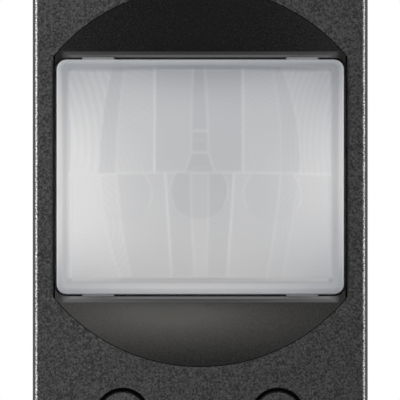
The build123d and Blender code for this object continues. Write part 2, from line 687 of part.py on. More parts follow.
def button(side):
    """Round cap with a retaining flange behind the fascia and a stem to its switch."""
    x = side * BUTTON_X
    flange_y = WALL_BACK_Y + BUTTON_FLANGE_GAP
    cap = rod(x, BUTTON_Z, BUTTON_CAP_R, FACE_Y, flange_y)
    cap = fillet(edges_at(cap, FACE_Y), BUTTON_EDGE_R)
    cap += rod(x, BUTTON_Z, BUTTON_FLANGE_R, flange_y, flange_y + BUTTON_FLANGE_T)
    return cap + rod(x, BUTTON_Z, BUTTON_STEM_R, flange_y, PLUNGER_Y - BUTTON_STEM_GAP)


def tact_switch(side):
    """Body of the tactile switch, with the well that its plunger moves in."""
    x = side * BUTTON_X
    body = block(x, BUTTON_Z, TACT_W, TACT_D, TACT_Y, BOARD_Y)
    well = TACT_Y + PLUNGER_ROOT + BUTTON_TRAVEL + PLUNGER_GAP
    return body - rod(x, BUTTON_Z, PLUNGER_R + PLUNGER_GAP, TACT_Y - OVERRUN, well)


def tact_plunger(side):
    """Plunger that the button's stem presses."""
    return rod(side * BUTTON_X, BUTTON_Z, PLUNGER_R, PLUNGER_Y, TACT_Y + PLUNGER_ROOT)


def trimmer_body(side):
    """Square body of a trimmer with a round well for its rotor."""
    x = side * TRIMMER_X
    body = block(x, TRIMMER_Z, TRIMMER_W, TRIMMER_W, TRIMMER_Y, BOARD_Y)
    well = TRIMMER_Y - TRIMMER_ROTOR_PROUD + TRIMMER_ROTOR_T + TRIMMER_ROTOR_GAP
    return body - rod(x, TRIMMER_Z, TRIMMER_ROTOR_R + TRIMMER_ROTOR_GAP, TRIMMER_Y - OVERRUN, well)


def trimmer_rotor(side):
    """Rotor with a screwdriver slot that widens at its pointer end."""
    x = side * TRIMMER_X
    front = TRIMMER_Y - TRIMMER_ROTOR_PROUD
    rotor = rod(x, TRIMMER_Z, TRIMMER_ROTOR_R, front, front + TRIMMER_ROTOR_T)
    slot = Pos(x, TRIMMER_Z) * Rectangle(TRIMMER_SLOT_W, 2 * TRIMMER_ROTOR_R - 2 * TRIMMER_SLOT_W)
    tip = TRIMMER_Z + TRIMMER_ROTOR_R - TRIMMER_SLOT_W
    root = tip - TRIMMER_ARROW
    slot += Polygon((x, tip), (x - TRIMMER_ARROW, root), (x + TRIMMER_ARROW, root), align=None)
    return rotor - slab(slot, front - OVERRUN, front + TRIMMER_SLOT_DEPTH)


def carrier():
    """Plate that the fascia clips on, with its latches for the wall frame and its legs for the housing."""
    plate = rounded(0, 0, FACE_W, FACE_H, CORNER_R, PLATE_FRONT_Y, 0)
    rim_y = PLATE_FRONT_Y - LOCATING_H
    rim = block(0, 0, 2 * LOCATING_X, 2 * LOCATING_Z, rim_y, PLATE_FRONT_Y)
    inner_x, inner_z = LOCATING_X - LOCATING_WALL, LOCATING_Z - LOCATING_WALL
    plate += rim - block(0, 0, 2 * inner_x, 2 * inner_z, rim_y, PLATE_FRONT_Y)
    recess_x, recess_z = TRAY_X + FLAT_GAP, TRAY_Z + MOULD_GAP
    plate -= block(0, 0, 2 * recess_x, 2 * recess_z, -SEAT_RECESS, OVERRUN)
    optic_x, optic_z = LENS_X + MOULD_GAP, LENS_Z + MOULD_GAP
    window_r = LENS_CORNER_R + MOULD_GAP
    plate -= rounded(0, OPTIC_Z, 2 * optic_x, 2 * optic_z, window_r, PLATE_FRONT_Y - OVERRUN, OVERRUN)
    for side in SIDES:
        width, height = TACT_W + 2 * CONTROL_GAP, TACT_D + 2 * CONTROL_GAP
        plate -= block(side * BUTTON_X, BUTTON_Z, width, height, PLATE_FRONT_Y, OVERRUN)
        width = TRIMMER_W + 2 * CONTROL_GAP
        plate -= block(side * TRIMMER_X, TRIMMER_Z, width, width, PLATE_FRONT_Y, OVERRUN)
        for z in (CATCH_Z, -CATCH_Z):
            plate += catch(side, z, CATCH_PROUD, 0)
        for z in LEG_Z:
            plate += leg(side, z)
        for end in SIDES:
            plate += latch(side * LATCH_X, end)
            pad_x, pad_z = BOARD_X - PAD_INSET_X, BOARD_Z - PAD_INSET_Z
            plate += rod(side * pad_x, end * pad_z, PAD_R, -PLATE_T / 2, BOARD_Y)
    return plate


def leg(side, z):
    """Sprung leg that snaps into a window of the housing's side."""
    inner, outer = LEG_X - LEG_T, LEG_X
    start, tip = LEG_BARB_START, LEG_BARB_START + LEG_BARB_T
    outline = Polygon(
        (side * inner, -SEAT_RECESS),
        (side * outer, -SEAT_RECESS),
        (side * outer, start),
        (side * (outer + LEG_BARB), start),
        (side * outer, tip),
        (side * outer, LEG_LENGTH),
        (side * inner, LEG_LENGTH),
        align=None,
    )
    return Pos(0, 0, z) * extrude(outline, amount=LEG_W / 2, both=True)


def latch(x, end):
    """Sprung hook that grips the edge of the wall frame."""
    inner = TRAY_Z + LATCH_GAP
    outer = inner + LATCH_T
    start, tip = LATCH_BARB_START, LATCH_BARB_START + LATCH_BARB_T
    outline = Polygon(
        (-PLATE_T / 2, end * inner),
        (-PLATE_T / 2, end * outer),
        (start, end * outer),
        (start, end * (outer + LATCH_BARB)),
        (tip, end * outer),
        (LATCH_LENGTH, end * outer),
        (LATCH_LENGTH, end * inner),
        align=None,
    )
    return extrude(Plane.YZ.offset(x) * outline, amount=LATCH_W / 2, both=True)


def housing():
    """Rear moulding: a wide front tray, a deep box behind it and a niche for the terminals."""
    shell = rounded(0, 0, 2 * TRAY_X, 2 * TRAY_Z, HOUSING_R, 0, TRAY_DEPTH)
    shell += rounded(0, 0, 2 * TRAY_X, 2 * REAR_Z, HOUSING_R, 0, REAR_Y)
    shell = fillet(edges_at(shell, REAR_Y), HOUSING_EDGE_R)
    label_z = LABEL_Z_SHARE * REAR_Z
    shell -= rounded(0, label_z, LABEL_W, LABEL_H, LABEL_R, REAR_Y - LABEL_DEPTH, REAR_Y + OVERRUN)
    inner_z = TRAY_Z - HOUSING_WALL
    shell -= block(0, 0, 2 * CAVITY_X, 2 * inner_z, -OVERRUN, TRAY_DEPTH - HOUSING_WALL)
    deep = REAR_Z - HOUSING_WALL
    floor_z = NICHE_TOP_Z + NICHE_WALL
    shell -= between(-CAVITY_X, CAVITY_X, -deep, deep, 0, NICHE_FRONT_Y - NICHE_WALL)
    shell -= between(-CAVITY_X, CAVITY_X, floor_z, deep, 0, REAR_Y - HOUSING_WALL)
    shell -= between(-NICHE_X, NICHE_X, -REAR_Z - OVERRUN, NICHE_TOP_Z, NICHE_FRONT_Y, REAR_Y + OVERRUN)
    for x in terminal_places():
        slot_w = BAR_W + 2 * FLAT_GAP
        middle = Pos(x, (NICHE_TOP_Z + floor_z) / 2)
        slot = middle * Rectangle(slot_w, NICHE_WALL + 2 * FLAT_GAP)
        shell -= slab(slot, BAR_FRONT_Y - FLAT_GAP, BAR_BACK_Y + FLAT_GAP)
    for side in SIDES:
        for z in LEG_Z:
            front = LEG_BARB_START - MOULD_GAP
            back = LEG_BARB_START + LEG_BARB_T + MOULD_GAP
            depth = 2 * HOUSING_WALL + MOULD_GAP
            shell -= block(side * TRAY_X, z, depth, LEG_W + 2 * MOULD_GAP, front, back)
        for end in SIDES:
            ledge_x, ledge_z = BOARD_X - PAD_INSET_X, BOARD_Z - LEDGE_INSET
            back = TRAY_DEPTH - HOUSING_WALL / 2
            shell += rod(side * ledge_x, end * ledge_z, LEDGE_R, BOARD_BACK_Y, back)
    return shell + corner_ribs()


def corner_ribs():
    """Ribs in the corners of the rear box, which stop the power board."""
    ribs = []
    width = RIB_CORNER_W + HOUSING_WALL / 2
    for side in SIDES:
        x = side * (CAVITY_X + HOUSING_WALL / 2 - width / 2)
        z = REAR_Z - HOUSING_WALL / 2 - width / 2
        ribs.append(block(x, z, width, width, POWER_BACK_Y, REAR_Y - HOUSING_WALL / 2))
        ribs.append(block(x, -z, width, width, POWER_BACK_Y, NICHE_FRONT_Y - NICHE_WALL / 2))
    return ribs


def microcontroller():
    """Square chip with leads on all four sides."""
    underside = BOARD_BACK_Y + CHIP_LEAD_T
    reach = CHIP_W + 2 * CHIP_LEAD_LENGTH
    start = -CHIP_LEAD_PITCH * (CHIP_LEAD_COUNT - 1) / 2
    leads = Sketch()
    for index in range(CHIP_LEAD_COUNT):
        place = start + index * CHIP_LEAD_PITCH
        leads += Pos(CHIP_X, CHIP_Z + place) * Rectangle(reach, CHIP_LEAD_W)
        leads += Pos(CHIP_X + place, CHIP_Z) * Rectangle(CHIP_LEAD_W, reach)
    chip = slab(leads, BOARD_BACK_Y, underside + CHIP_LEAD_T)
    chip -= block(CHIP_X, CHIP_Z, CHIP_W, CHIP_W, BOARD_BACK_Y, underside)
    return chip + block(CHIP_X, CHIP_Z, CHIP_W, CHIP_W, underside, underside + CHIP_T)


def header_socket():
    """Plastic strip that guides the pins between the boards."""
    width = HEADER_PITCH * HEADER_PIN_COUNT
    strip = block(0, HEADER_Z, width, HEADER_W, BOARD_BACK_Y, BOARD_BACK_Y + HEADER_H)
    for x in header_places():
        hole = HEADER_PIN_W + 2 * FLAT_GAP
        strip -= block(x, HEADER_Z, hole, hole, BOARD_BACK_Y - OVERRUN, BOARD_BACK_Y + HEADER_H + OVERRUN)
    return strip


def header_places():
    """Places of the pins across the header."""
    start = -HEADER_PITCH * (HEADER_PIN_COUNT - 1) / 2
    return [start + index * HEADER_PITCH for index in range(HEADER_PIN_COUNT)]


def header_pins():
    """Square pins that join the two boards."""
    return [block(x, HEADER_Z, HEADER_PIN_W, HEADER_PIN_W, BOARD_BACK_Y, POWER_Y) for x in header_places()]


def power_board():
    """Rear circuit board, which carries the mains parts."""
    return block(0, 0, 2 * POWER_X, 2 * POWER_Z, POWER_Y, POWER_BACK_Y)


def on_power_board(place_shares):
    """The place on the power board that a pair of shares gives."""
    return place_shares[0] * POWER_X, BAY_FOOT_Z + place_shares[1] * BAY_H


def in_bay(size_shares):
    """The width, height and depth that three shares give."""
    return size_shares[0] * POWER_X, size_shares[1] * BAY_H, size_shares[2] * BAY_DEPTH


def moulded_case(place_shares, size_shares, edge_r):
    """A case with rounded edges that stands on the power board."""
    x, z = on_power_board(place_shares)
    width, height, depth = in_bay(size_shares)
    case = rounded(x, z, width, height, edge_r, POWER_BACK_Y, POWER_BACK_Y + depth)
    return fillet(edges_at(case, POWER_BACK_Y + depth), edge_r / 2)


def relay():
    """Sealed relay case with rounded edges."""
    return moulded_case(RELAY_PLACE_SHARES, RELAY_SIZE_SHARES, RELAY_EDGE_R)


def film_capacitor():
    """Box capacitor with rounded edges."""
    return moulded_case(FILM_PLACE_SHARES, FILM_SIZE_SHARES, FILM_EDGE_R)


def electrolytic_capacitor():
    """Can capacitor with a crimped groove near its seal."""
    x, z = on_power_board(CAN_PLACE_SHARES)
    can = rod(x, z, CAN_R, POWER_BACK_Y, POWER_BACK_Y + CAN_T)
    groove_y = POWER_BACK_Y + 2 * CAN_GROOVE_W
    groove = rod(x, z, CAN_R + OVERRUN, groove_y, groove_y + CAN_GROOVE_W)
    return can - (groove - rod(x, z, CAN_R - CAN_GROOVE, groove_y, groove_y + CAN_GROOVE_W))


def varistor():
    """Round disc on edge, on two leads."""
    x, z = on_power_board(DISC_PLACE_SHARES)
    middle_y = POWER_BACK_Y + DISC_LEAD_LENGTH + DISC_R
    outline = Pos(middle_y, z) * Circle(DISC_R)
    disc = extrude(Plane.YZ.offset(x - DISC_T / 2) * outline, amount=DISC_T)
    for side in SIDES:
        disc += rod(x, z + side * DISC_LEAD_SPREAD, DISC_LEAD_R, POWER_BACK_Y, middle_y)
    return disc


def choke_core():
    """Bobbin core of the choke: a spindle between two flanges."""
    x, z = on_power_board(CORE_PLACE_SHARES)
    back = POWER_BACK_Y + CORE_T
    core = rod(x, z, CORE_SPINDLE_R, POWER_BACK_Y, back)
    core += rod(x, z, CORE_R, POWER_BACK_Y, POWER_BACK_Y + CORE_FLANGE_T)
    return core + rod(x, z, CORE_R, back - CORE_FLANGE_T, back)


def choke_winding():
    """Wire wound on the core, as one sleeve."""
    x, z = on_power_board(CORE_PLACE_SHARES)
    front = POWER_BACK_Y + CORE_FLANGE_T + FLAT_GAP
    back = POWER_BACK_Y + CORE_T - CORE_FLANGE_T - FLAT_GAP
    return rod(x, z, WINDING_R, front, back) - rod(x, z, CORE_SPINDLE_R + FLAT_GAP, front, back)


def part_on_board(place_shares, size_shares):
    """A plain moulded part that stands on the power board."""
    x, z = on_power_board(place_shares)
    width, height, depth = in_bay(size_shares)
    return block(x, z, width, height, POWER_BACK_Y, POWER_BACK_Y + depth)


def voltage_regulator():
    """Small regulator with a metal tab on one side."""
    x, z = on_power_board(REGULATOR_PLACE_SHARES)
    body = part_on_board(REGULATOR_PLACE_SHARES, REGULATOR_SIZE_SHARES)
    height = in_bay(REGULATOR_SIZE_SHARES)[1]
    tab_w, tab_h, tab_t = in_bay(REGULATOR_TAB_SHARES)
    tab_z = z + (height + tab_h) / 2
    return body + block(x, tab_z, tab_w, tab_h, POWER_BACK_Y, POWER_BACK_Y + tab_t)


def terminal_places():
    """Places of the terminals across the switch, left to right."""
    start = -TERMINAL_PITCH * (TERMINAL_COUNT - 1) / 2
    return [start + index * TERMINAL_PITCH for index in range(TERMINAL_COUNT)]


def terminal_body(x):
    """Insulating block with the wire's entry below and the screw's well behind."""
    low, high = x - TERMINAL_W / 2, x + TERMINAL_W / 2
    body = between(low, high, TERMINAL_FOOT_Z, TERMINAL_TOP_Z, TERMINAL_FRONT_Y, REAR_Y)
    cavity_w, cavity_h = CAGE_W + 2 * TERMINAL_GAP, CAGE_H + 2 * TERMINAL_GAP
    body -= block(x, CAGE_Z, cavity_w, cavity_h, CAGE_CAVITY_Y, WEB_FRONT_Y)
    body -= rod(x, CAGE_Z, SHANK_R + HEAD_GAP, WEB_FRONT_Y - OVERRUN, REAR_Y)
    body -= rod(x, CAGE_Z, HEAD_R + HEAD_GAP, WEB_BACK_Y, REAR_Y + OVERRUN)
    bore = extrude(Circle(WIRE_R), amount=CAGE_Z - TERMINAL_FOOT_Z + OVERRUN)
    body -= Pos(x, WIRE_Y, TERMINAL_FOOT_Z - OVERRUN) * bore
    half = BAR_W / 2 + FLAT_GAP
    front, back = BAR_FRONT_Y - FLAT_GAP, BAR_BACK_Y + FLAT_GAP
    return body - between(x - half, x + half, CAGE_Z, TERMINAL_TOP_Z + OVERRUN, front, back)


def terminal_bar(x):
    """Contact bar above the wire, with a tail that turns down to the power board."""
    low, high = x - BAR_W / 2, x + BAR_W / 2
    tail_z = NICHE_TOP_Z + NICHE_WALL + BAR_TAIL
    bar = between(low, high, CAGE_Z - CAGE_H / 2, tail_z, BAR_FRONT_Y, BAR_BACK_Y)
    return bar + between(low, high, tail_z - BAR_T, tail_z, POWER_BACK_Y, BAR_BACK_Y)


def terminal_screw(x):
    """Terminal screw, slotted across its head."""
    tip = BAR_BACK_Y + FLAT_GAP
    screw = rod(x, CAGE_Z, SHANK_R, tip, HEAD_FRONT_Y)
    screw += rod(x, CAGE_Z, HEAD_R, HEAD_FRONT_Y, HEAD_BACK_Y)
    slot_y = HEAD_BACK_Y - HEAD_SLOT_DEPTH
    return screw - block(x, CAGE_Z, HEAD_SLOT_W, 2 * HEAD_R + OVERRUN, slot_y, REAR_Y)


def terminal_cage(x):
    """Clamping cage: a frame whose rear wall is the nut and whose front wall is the jaw."""
    cage = block(x, CAGE_Z, CAGE_W, CAGE_H, CAGE_FRONT_Y, CAGE_BACK_Y)
    inner_w = CAGE_W - 2 * CAGE_WALL
    cage -= block(x, CAGE_Z, inner_w, CAGE_H + OVERRUN, JAW_BACK_Y, NUT_FRONT_Y)
    return cage - rod(x, CAGE_Z, SHANK_R + THREAD_GAP, NUT_FRONT_Y - OVERRUN, CAGE_BACK_Y + OVERRUN)


def pieces():
    """Every piece of the switch, by name."""
    left, right = SIDES
    found = {
        "fascia": fascia(),
        "sensor_bezel": sensor_bezel(),
        "lens": lens(),
        "optic_shroud": optic_shroud(),
        "sensor_board": sensor_board(),
        "pyro_can": pyro_can(),
        "pyro_window": pyro_window(),
        "pyro_spacer": pyro_spacer(),
        "pyro_pins": pyro_pins(),
        "photocell": photocell(),
        "indicator_led": indicator_led(),
        "left_button": button(left),
        "right_button": button(right),
        "left_tact_switch": tact_switch(left),
        "right_tact_switch": tact_switch(right),
        "left_tact_plunger": tact_plunger(left),
        "right_tact_plunger": tact_plunger(right),
        "time_trimmer_body": trimmer_body(left),
        "time_trimmer_rotor": trimmer_rotor(left),
        "light_trimmer_body": trimmer_body(right),
        "light_trimmer_rotor": trimmer_rotor(right),
        "carrier": carrier(),
        "housing": housing(),
        "microcontroller": microcontroller(),
        "header_socket": header_socket(),
        "header_pins": header_pins(),
        "power_board": power_board(),
        "relay": relay(),
        "film_capacitor": film_capacitor(),
        "electrolytic_capacitor": electrolytic_capacitor(),
        "varistor": varistor(),
        "choke_core": choke_core(),
        "choke_winding": choke_winding(),
        "fuse": part_on_board(FUSE_PLACE_SHARES, FUSE_SIZE_SHARES),
        "bridge_rectifier": part_on_board(BRIDGE_PLACE_SHARES, BRIDGE_SIZE_SHARES),
        "voltage_regulator": voltage_regulator(),
    }
    for number, x in enumerate(terminal_places(), start=1):
        found[f"terminal_body_{number}"] = terminal_body(x)
        found[f"terminal_bar_{number}"] = terminal_bar(x)
        found[f"terminal_screw_{number}"] = terminal_screw(x)
        found[f"terminal_cage_{number}"] = terminal_cage(x)
    return found


os.makedirs("parts", exist_ok=True)
for name, piece in pieces().items():
    shape = Compound(children=piece) if isinstance(piece, list) else piece
    export_step(shape, f"parts/{name}.step")
    print(name, round(shape.volume, 1))
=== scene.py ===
import json
import math

import bpy
import numpy as np
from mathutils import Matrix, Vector

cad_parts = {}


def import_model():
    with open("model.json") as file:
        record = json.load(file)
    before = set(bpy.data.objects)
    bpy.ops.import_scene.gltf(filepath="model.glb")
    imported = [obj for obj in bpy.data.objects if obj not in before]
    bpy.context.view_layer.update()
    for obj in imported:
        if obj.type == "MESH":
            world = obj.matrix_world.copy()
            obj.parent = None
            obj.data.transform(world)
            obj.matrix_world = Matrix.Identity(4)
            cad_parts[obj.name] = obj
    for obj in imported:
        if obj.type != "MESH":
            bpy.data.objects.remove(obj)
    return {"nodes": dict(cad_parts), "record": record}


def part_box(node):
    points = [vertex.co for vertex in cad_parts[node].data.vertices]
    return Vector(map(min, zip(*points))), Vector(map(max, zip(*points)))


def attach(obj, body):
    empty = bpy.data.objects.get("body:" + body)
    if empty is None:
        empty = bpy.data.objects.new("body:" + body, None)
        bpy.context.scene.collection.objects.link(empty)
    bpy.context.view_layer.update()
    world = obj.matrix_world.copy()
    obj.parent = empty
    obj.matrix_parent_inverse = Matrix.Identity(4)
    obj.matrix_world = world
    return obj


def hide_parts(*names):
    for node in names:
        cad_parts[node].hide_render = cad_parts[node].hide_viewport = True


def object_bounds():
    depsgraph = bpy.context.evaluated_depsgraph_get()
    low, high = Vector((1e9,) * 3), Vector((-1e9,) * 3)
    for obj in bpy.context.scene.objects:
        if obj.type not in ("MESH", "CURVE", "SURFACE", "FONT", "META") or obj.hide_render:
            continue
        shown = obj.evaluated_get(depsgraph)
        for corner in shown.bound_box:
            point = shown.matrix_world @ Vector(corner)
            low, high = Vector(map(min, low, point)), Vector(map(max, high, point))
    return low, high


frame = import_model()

# Dress of a wall switch with a motion sensor, in metres. The front faces -Y and Z is up.

cad_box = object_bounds()
MM = 0.001

# Camera, square to the face
FACE_Y = -10 * MM
CAMERA_X = -0.03 * MM
CAMERA_Z = 1.92 * MM
CAMERA_DISTANCE = 2500 * MM
VIEW_WIDTH = 53.32 * MM
SENSOR_WIDTH = 36  # in the camera's own millimetres
CAMERA_NEAR = 10 * MM
CAMERA_FAR = 100000 * MM

# Lens: outline, rim and the shoulder that the barrel stands on
LENS_HALF_W = 19.15 * MM
LENS_HALF_H = 15.65 * MM
LENS_Z = 5 * MM
LENS_CORNER_R = 1.35 * MM
RIM_Y = -10.3 * MM
RIM_ROUND = 0.25 * MM
RIM_SIDE = 1.15 * MM
RIM_TOP = 0.6 * MM
RIM_FOOT = 1.45 * MM
SHOULDER_W = 0.95 * MM
SHOULDER_RISE = 0.45 * MM
SHOULDER_CORNER_R = 0.8 * MM
TOP_ARCH = 0.4 * MM
BARREL_RISE = 3.8 * MM
PILLOW_DROP_SHARE = 0.85
PILLOW_POWER = 3
LENS_SKIN = 0.7 * MM
LENS_WALL = 1.0 * MM
LENS_BACK_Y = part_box("lens")[1].y
FLANGE_T = 0.8 * MM
FLANGE_HALF_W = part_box("lens")[1].x
FLANGE_HALF_H = 16.9 * MM
LENS_SMOOTH_ANGLE = math.radians(50)

# How far apart the points of the lens stand: on its front, near its edges and on its inner side
PITCH = 0.17 * MM
EDGE_PITCH = 0.08 * MM
EDGE_BAND = 2.2 * MM
INNER_PITCH = 0.5 * MM

# Tongues of the lens
TONGUE_X = 13.6 * MM
TONGUE_W = 4.3 * MM
TONGUE_T = 0.6 * MM
TONGUE_REACH = 0.3 * MM
TONGUE_ROOT = 0.5 * MM
TONGUE_SET_BACK = 0.55 * MM
TONGUE_Y = FACE_Y + TONGUE_SET_BACK
TONGUE_EDGE_R = TONGUE_REACH / 3
TONGUE_TONE = 0.43

# How far outside the outline a point has to lie to take the tongues' tone
OUTLINE_SLACK = RIM_ROUND / 10

# Barrel inside the shoulder, the line between its two rows of segments, and the arch that the rows follow
PANEL_HALF_W = LENS_HALF_W - RIM_SIDE - SHOULDER_W
PANEL_TOP_Z = LENS_Z + LENS_HALF_H - RIM_TOP - SHOULDER_W
PANEL_FOOT_Z = LENS_Z - LENS_HALF_H + RIM_FOOT + SHOULDER_W
SPLIT_Z = 5.25 * MM
SPLIT_STRENGTH = 0.6
ARCH = 0.3 * MM
BARREL_R = (PANEL_HALF_W**2 + BARREL_RISE**2) / (2 * BARREL_RISE)

# Lines between the segments, left to right: their x at the top, the middle and the foot of their row
UPPER_LINES = (
    (-11.75 * MM, -13.0 * MM, -13.4 * MM),
    (-10.1 * MM, -10.95 * MM, -11.2 * MM),
    (-6.05 * MM, -6.05 * MM, -6.05 * MM),
    (-0.93 * MM, -1.13 * MM, -1.1 * MM),
    (0.57 * MM, 0.95 * MM, 1.05 * MM),
    (5.65 * MM, 5.65 * MM, 5.65 * MM),
    (9.65 * MM, 10.6 * MM, 10.75 * MM),
    (11.0 * MM, 12.85 * MM, 13.2 * MM),
)
LOWER_LINES = (
    (-13.35 * MM, -12.6 * MM, -10.75 * MM),
    (-11.05 * MM, -10.4 * MM, -9.2 * MM),
    (-4.65 * MM, -4.2 * MM, -3.8 * MM),
    (-1.35 * MM, -1.15 * MM, -0.8 * MM),
    (1.1 * MM, 1.05 * MM, 0.8 * MM),
    (4.45 * MM, 4.05 * MM, 3.6 * MM),
    (10.65 * MM, 9.95 * MM, 8.85 * MM),
    (13.2 * MM, 12.1 * MM, 11.0 * MM),
)

# How far each line flares aside at the foot of its row, and the share of the row where flares start
UPPER_FLARES = (0, 0, 0, -0.95 * MM, 0.85 * MM, 0, 0, 0)
LOWER_FLARES = (0,) * 8
FLARE_START = 0.8
FLARE_POWER = 1.2

# How bright each line is, and each segment, as shares of the white
UPPER_LINE_SHARES = (0.1, 0.3, 1.0, 0.5, 0.6, 0.9, 0.3, 0.35)
LOWER_LINE_SHARES = (0.45, 0.35, 1.0, 0.5, 0.5, 1.0, 0.5, 0.3)
UPPER_TONE_SHARES = (1.0, 0.925, 0.965, 0.93, 0.885, 0.915, 0.965, 0.95, 1.0)
LOWER_TONE_SHARES = (1.0, 0.99, 0.95, 0.935, 0.965, 0.935, 0.965, 0.975, 0.99)
LINE_W = 0.19 * MM
# Painted highlight along the segment lines, as a share of the white
LINE_HIGHLIGHT_SHARE = 0.085
LINE_RISE = 0.05 * MM

# Grooves of the segments: centre, pitch and strength, in the order of the segments
UPPER_GROOVES = (
    (-38 * MM, 9.2 * MM, 1.0 * MM, 1.0),
    (-38 * MM, 9.2 * MM, 0.7 * MM, 0.3),
    (-15 * MM, 4.8 * MM, 0.8 * MM, 0.35),
    (-12 * MM, -20 * MM, 0.6 * MM, 0.25),
    (0 * MM, -30 * MM, 0.5 * MM, 0.25),
    (12 * MM, -20 * MM, 0.6 * MM, 0.25),
    (15 * MM, 4.8 * MM, 0.6 * MM, 0.4),
    (38 * MM, 9.2 * MM, 0.7 * MM, 0.3),
    (38 * MM, 9.2 * MM, 0.8 * MM, 0.6),
)
LOWER_GROOVES = (
    (-15.4 * MM, 0 * MM, 0.6 * MM, 0.4),
    (-16.5 * MM, -2 * MM, 0.7 * MM, 0.7),
    (-10 * MM, 2.5 * MM, 0.5 * MM, 0.25),
    (0 * MM, 3 * MM, 0.5 * MM, 0.3),
    (0 * MM, -40 * MM, 0.42 * MM, 0.6),
    (0 * MM, 3 * MM, 0.5 * MM, 0.3),
    (10 * MM, 2.5 * MM, 0.5 * MM, 0.25),
    (16.5 * MM, -2 * MM, 0.6 * MM, 0.5),
    (15.4 * MM, 0 * MM, 0.6 * MM, 0.25),
)
GROOVE_DEPTH = 0.012 * MM
# Painted light and shade that follow the grooves' ripples
GROOVE_SHADE_SHARE = 0.018

# Round lobes of the lower row: x, height and how much darker each is
LOBES = (
    (-10.25 * MM, 2.5 * MM, 0.012),
    (-0.15 * MM, 2.9 * MM, 0.045),
    (9.55 * MM, 2.5 * MM, 0.015),
)
LOBE_R = 3.8 * MM
LOBE_LINE_STRENGTH = 0.45

# Rungs of the middle column: height and strength
RUNGS = ((10.78 * MM, 0.8), (9.5 * MM, 0.3), (7.9 * MM, 0.8), (5.9 * MM, 0.3))
RUNG_HALF_W = 1.1 * MM

# Light and shade painted on the lens: the share at its middle, and what its height and its sides add or
# take
PAINTED_LIGHT_MIDDLE = 0.892
PAINTED_LIGHT_HEIGHT_LOSS = 0.1
PAINTED_LIGHT_TOP_LOSS = 0.17
PAINTED_LIGHT_FOOT_GAIN = 0.09
PAINTED_LIGHT_SIDE_GAIN = 0.113
PAINTED_LIGHT_SIDE_TOP_LOSS = 0.14
PAINTED_LIGHT_SIDE_UPPER_LOSS = 0.15
PAINTED_LIGHT_SIDE_FOOT_LOSS = 0.47
PAINTED_LIGHT_ACROSS_LOSS = 0.03
PAINTED_LIGHT_RIGHT_LOSS = 0.03
PAINTED_LIGHT_RIGHT_LOWER_LOSS = 0.14

# Painted light and shade of the rim, a painted shade band between its round edge and the shoulder, and a
# painted highlight along its top edge
RIM_TONE = 0.98
RIM_TOP_GAIN = 0.19
RIM_ENDS_LOSS = 0.12
CORNER_GAIN = 0.2
TOP_EDGE_HIGHLIGHT = 0.1
BAND_LOSS = 0.12
BAND_TOP_LOSS = 0.15
BAND_ENDS_GAIN = 0.12
BAND_WIDER_TOP = 0.2 * MM
BAND_FADE = 0.3 * MM

# Painted light and shade on the shoulder's slopes: under, beside and over the barrel
SLOPE_FADE = SHOULDER_W / 3
UNDER_GAIN = 0.17
BESIDE_LOSS = 0.11
BESIDE_FOOT_SHARE = 0.8
OVER_LOSS = 0.02

# Painted highlight of the lamps on the lower half of the scoop, for a gradient whose middle is at 0 and
# whose edge is at 1
SCOOP_HIGHLIGHT_X, SCOOP_HIGHLIGHT_Z = -4 * MM, -13.2 * MM
SCOOP_HIGHLIGHT_HALF_W, SCOOP_HIGHLIGHT_HALF_H = 34 * MM, 9 * MM
SCOOP_HIGHLIGHT_SCALE = (1 / SCOOP_HIGHLIGHT_HALF_W, 0, 1 / SCOOP_HIGHLIGHT_HALF_H)
SCOOP_HIGHLIGHT_PLACE = (-SCOOP_HIGHLIGHT_X / SCOOP_HIGHLIGHT_HALF_W, 0, -SCOOP_HIGHLIGHT_Z / SCOOP_HIGHLIGHT_HALF_H)

# How much painted light the scoop gets towards its sides, for a square metre of distance
SCOOP_SIDE_LIGHT = 0.09 / (20 * MM) ** 2

# Rails of the scoop, from the middle of the lens: edge of their flat front, their foot, and their two ends
RAIL_FRONT_Z = 16.15 * MM
RAIL_FOOT_Z = 16.8 * MM
RAIL_END_X = 17.0 * MM
RAIL_CORNER_X = 18.6 * MM

# Painted highlight along the long edges of the paint
EDGE_LINE_X = 21.84 * MM
EDGE_LINE_HALF_W = 0.2 * MM

# Painted light on the paint: how bright it is at its left edge and at its right edge
PAINT_LEFT_LIGHT, PAINT_RIGHT_LIGHT = 1.06, 0.85

# Buttons: caps that stand in the holes of the cover, with a flange behind it
CAP_R = 3.13 * MM
CAP_EDGE_R = 0.2 * MM
CAP_EDGE_STEPS = 4
CAP_SIDES = 96
CAP_SMOOTH_ANGLE = math.radians(30)
CAP_STEM_R = 1.3 * MM
CAP_FLANGE_BACK = 2.2 * MM
CAP_FLANGE_Y = FACE_Y + CAP_FLANGE_BACK
CAP_FLANGE_T = 1.0 * MM
MERGE_DISTANCE = MM / 1000

# Dark ring round each button: bare plastic in the hole, and painted shade of the gap and of the hole's
# rounded front edge
RING_R = 3.45 * MM
RING_HALF_W = 0.24 * MM

# Sizes of the finishes' specks, grains and clouds, heights of their reliefs, and the lens's scattering
PAINT_SPECK = 0.23 * MM
PAINT_GRAIN = 0.2 * MM
PAINT_RELIEF = 0.02 * MM
PAINT_CLOUD = 0.3 * MM
DISH_SPECK = 0.16 * MM
DISH_SPECK_SHARE = 0.5
DISH_GRAIN = 0.15 * MM
DISH_RELIEF = 0.006 * MM
DISH_CLOUD = 1.5 * MM
LENS_GRAIN = 0.12 * MM
LENS_RELIEF = 0.002 * MM
LENS_SCATTER = 1 * MM
MOULD_TINT_CLOUD = 7 * MM
MOULD_GRAIN = 0.12 * MM
MOULD_RELIEF = 0.008 * MM
MOULD_CLOUD = 0.6 * MM
GLOSS_TINT_CLOUD = 2 * MM
GLOSS_CLOUD = 0.8 * MM
METAL_TINT_CLOUD = 1.2 * MM
METAL_GRAIN = 0.1 * MM
METAL_RELIEF = 0.004 * MM
METAL_STRETCH = (1, 0.15, 1)
BOARD_TRACK = 4 * MM
BOARD_CLOUD = 1 * MM

# Range in which a cloudy pattern lies, for roughness and for tint
ROUGH_RANGE = (0.3, 0.7)
TINT_RANGE = (0.35, 0.65)

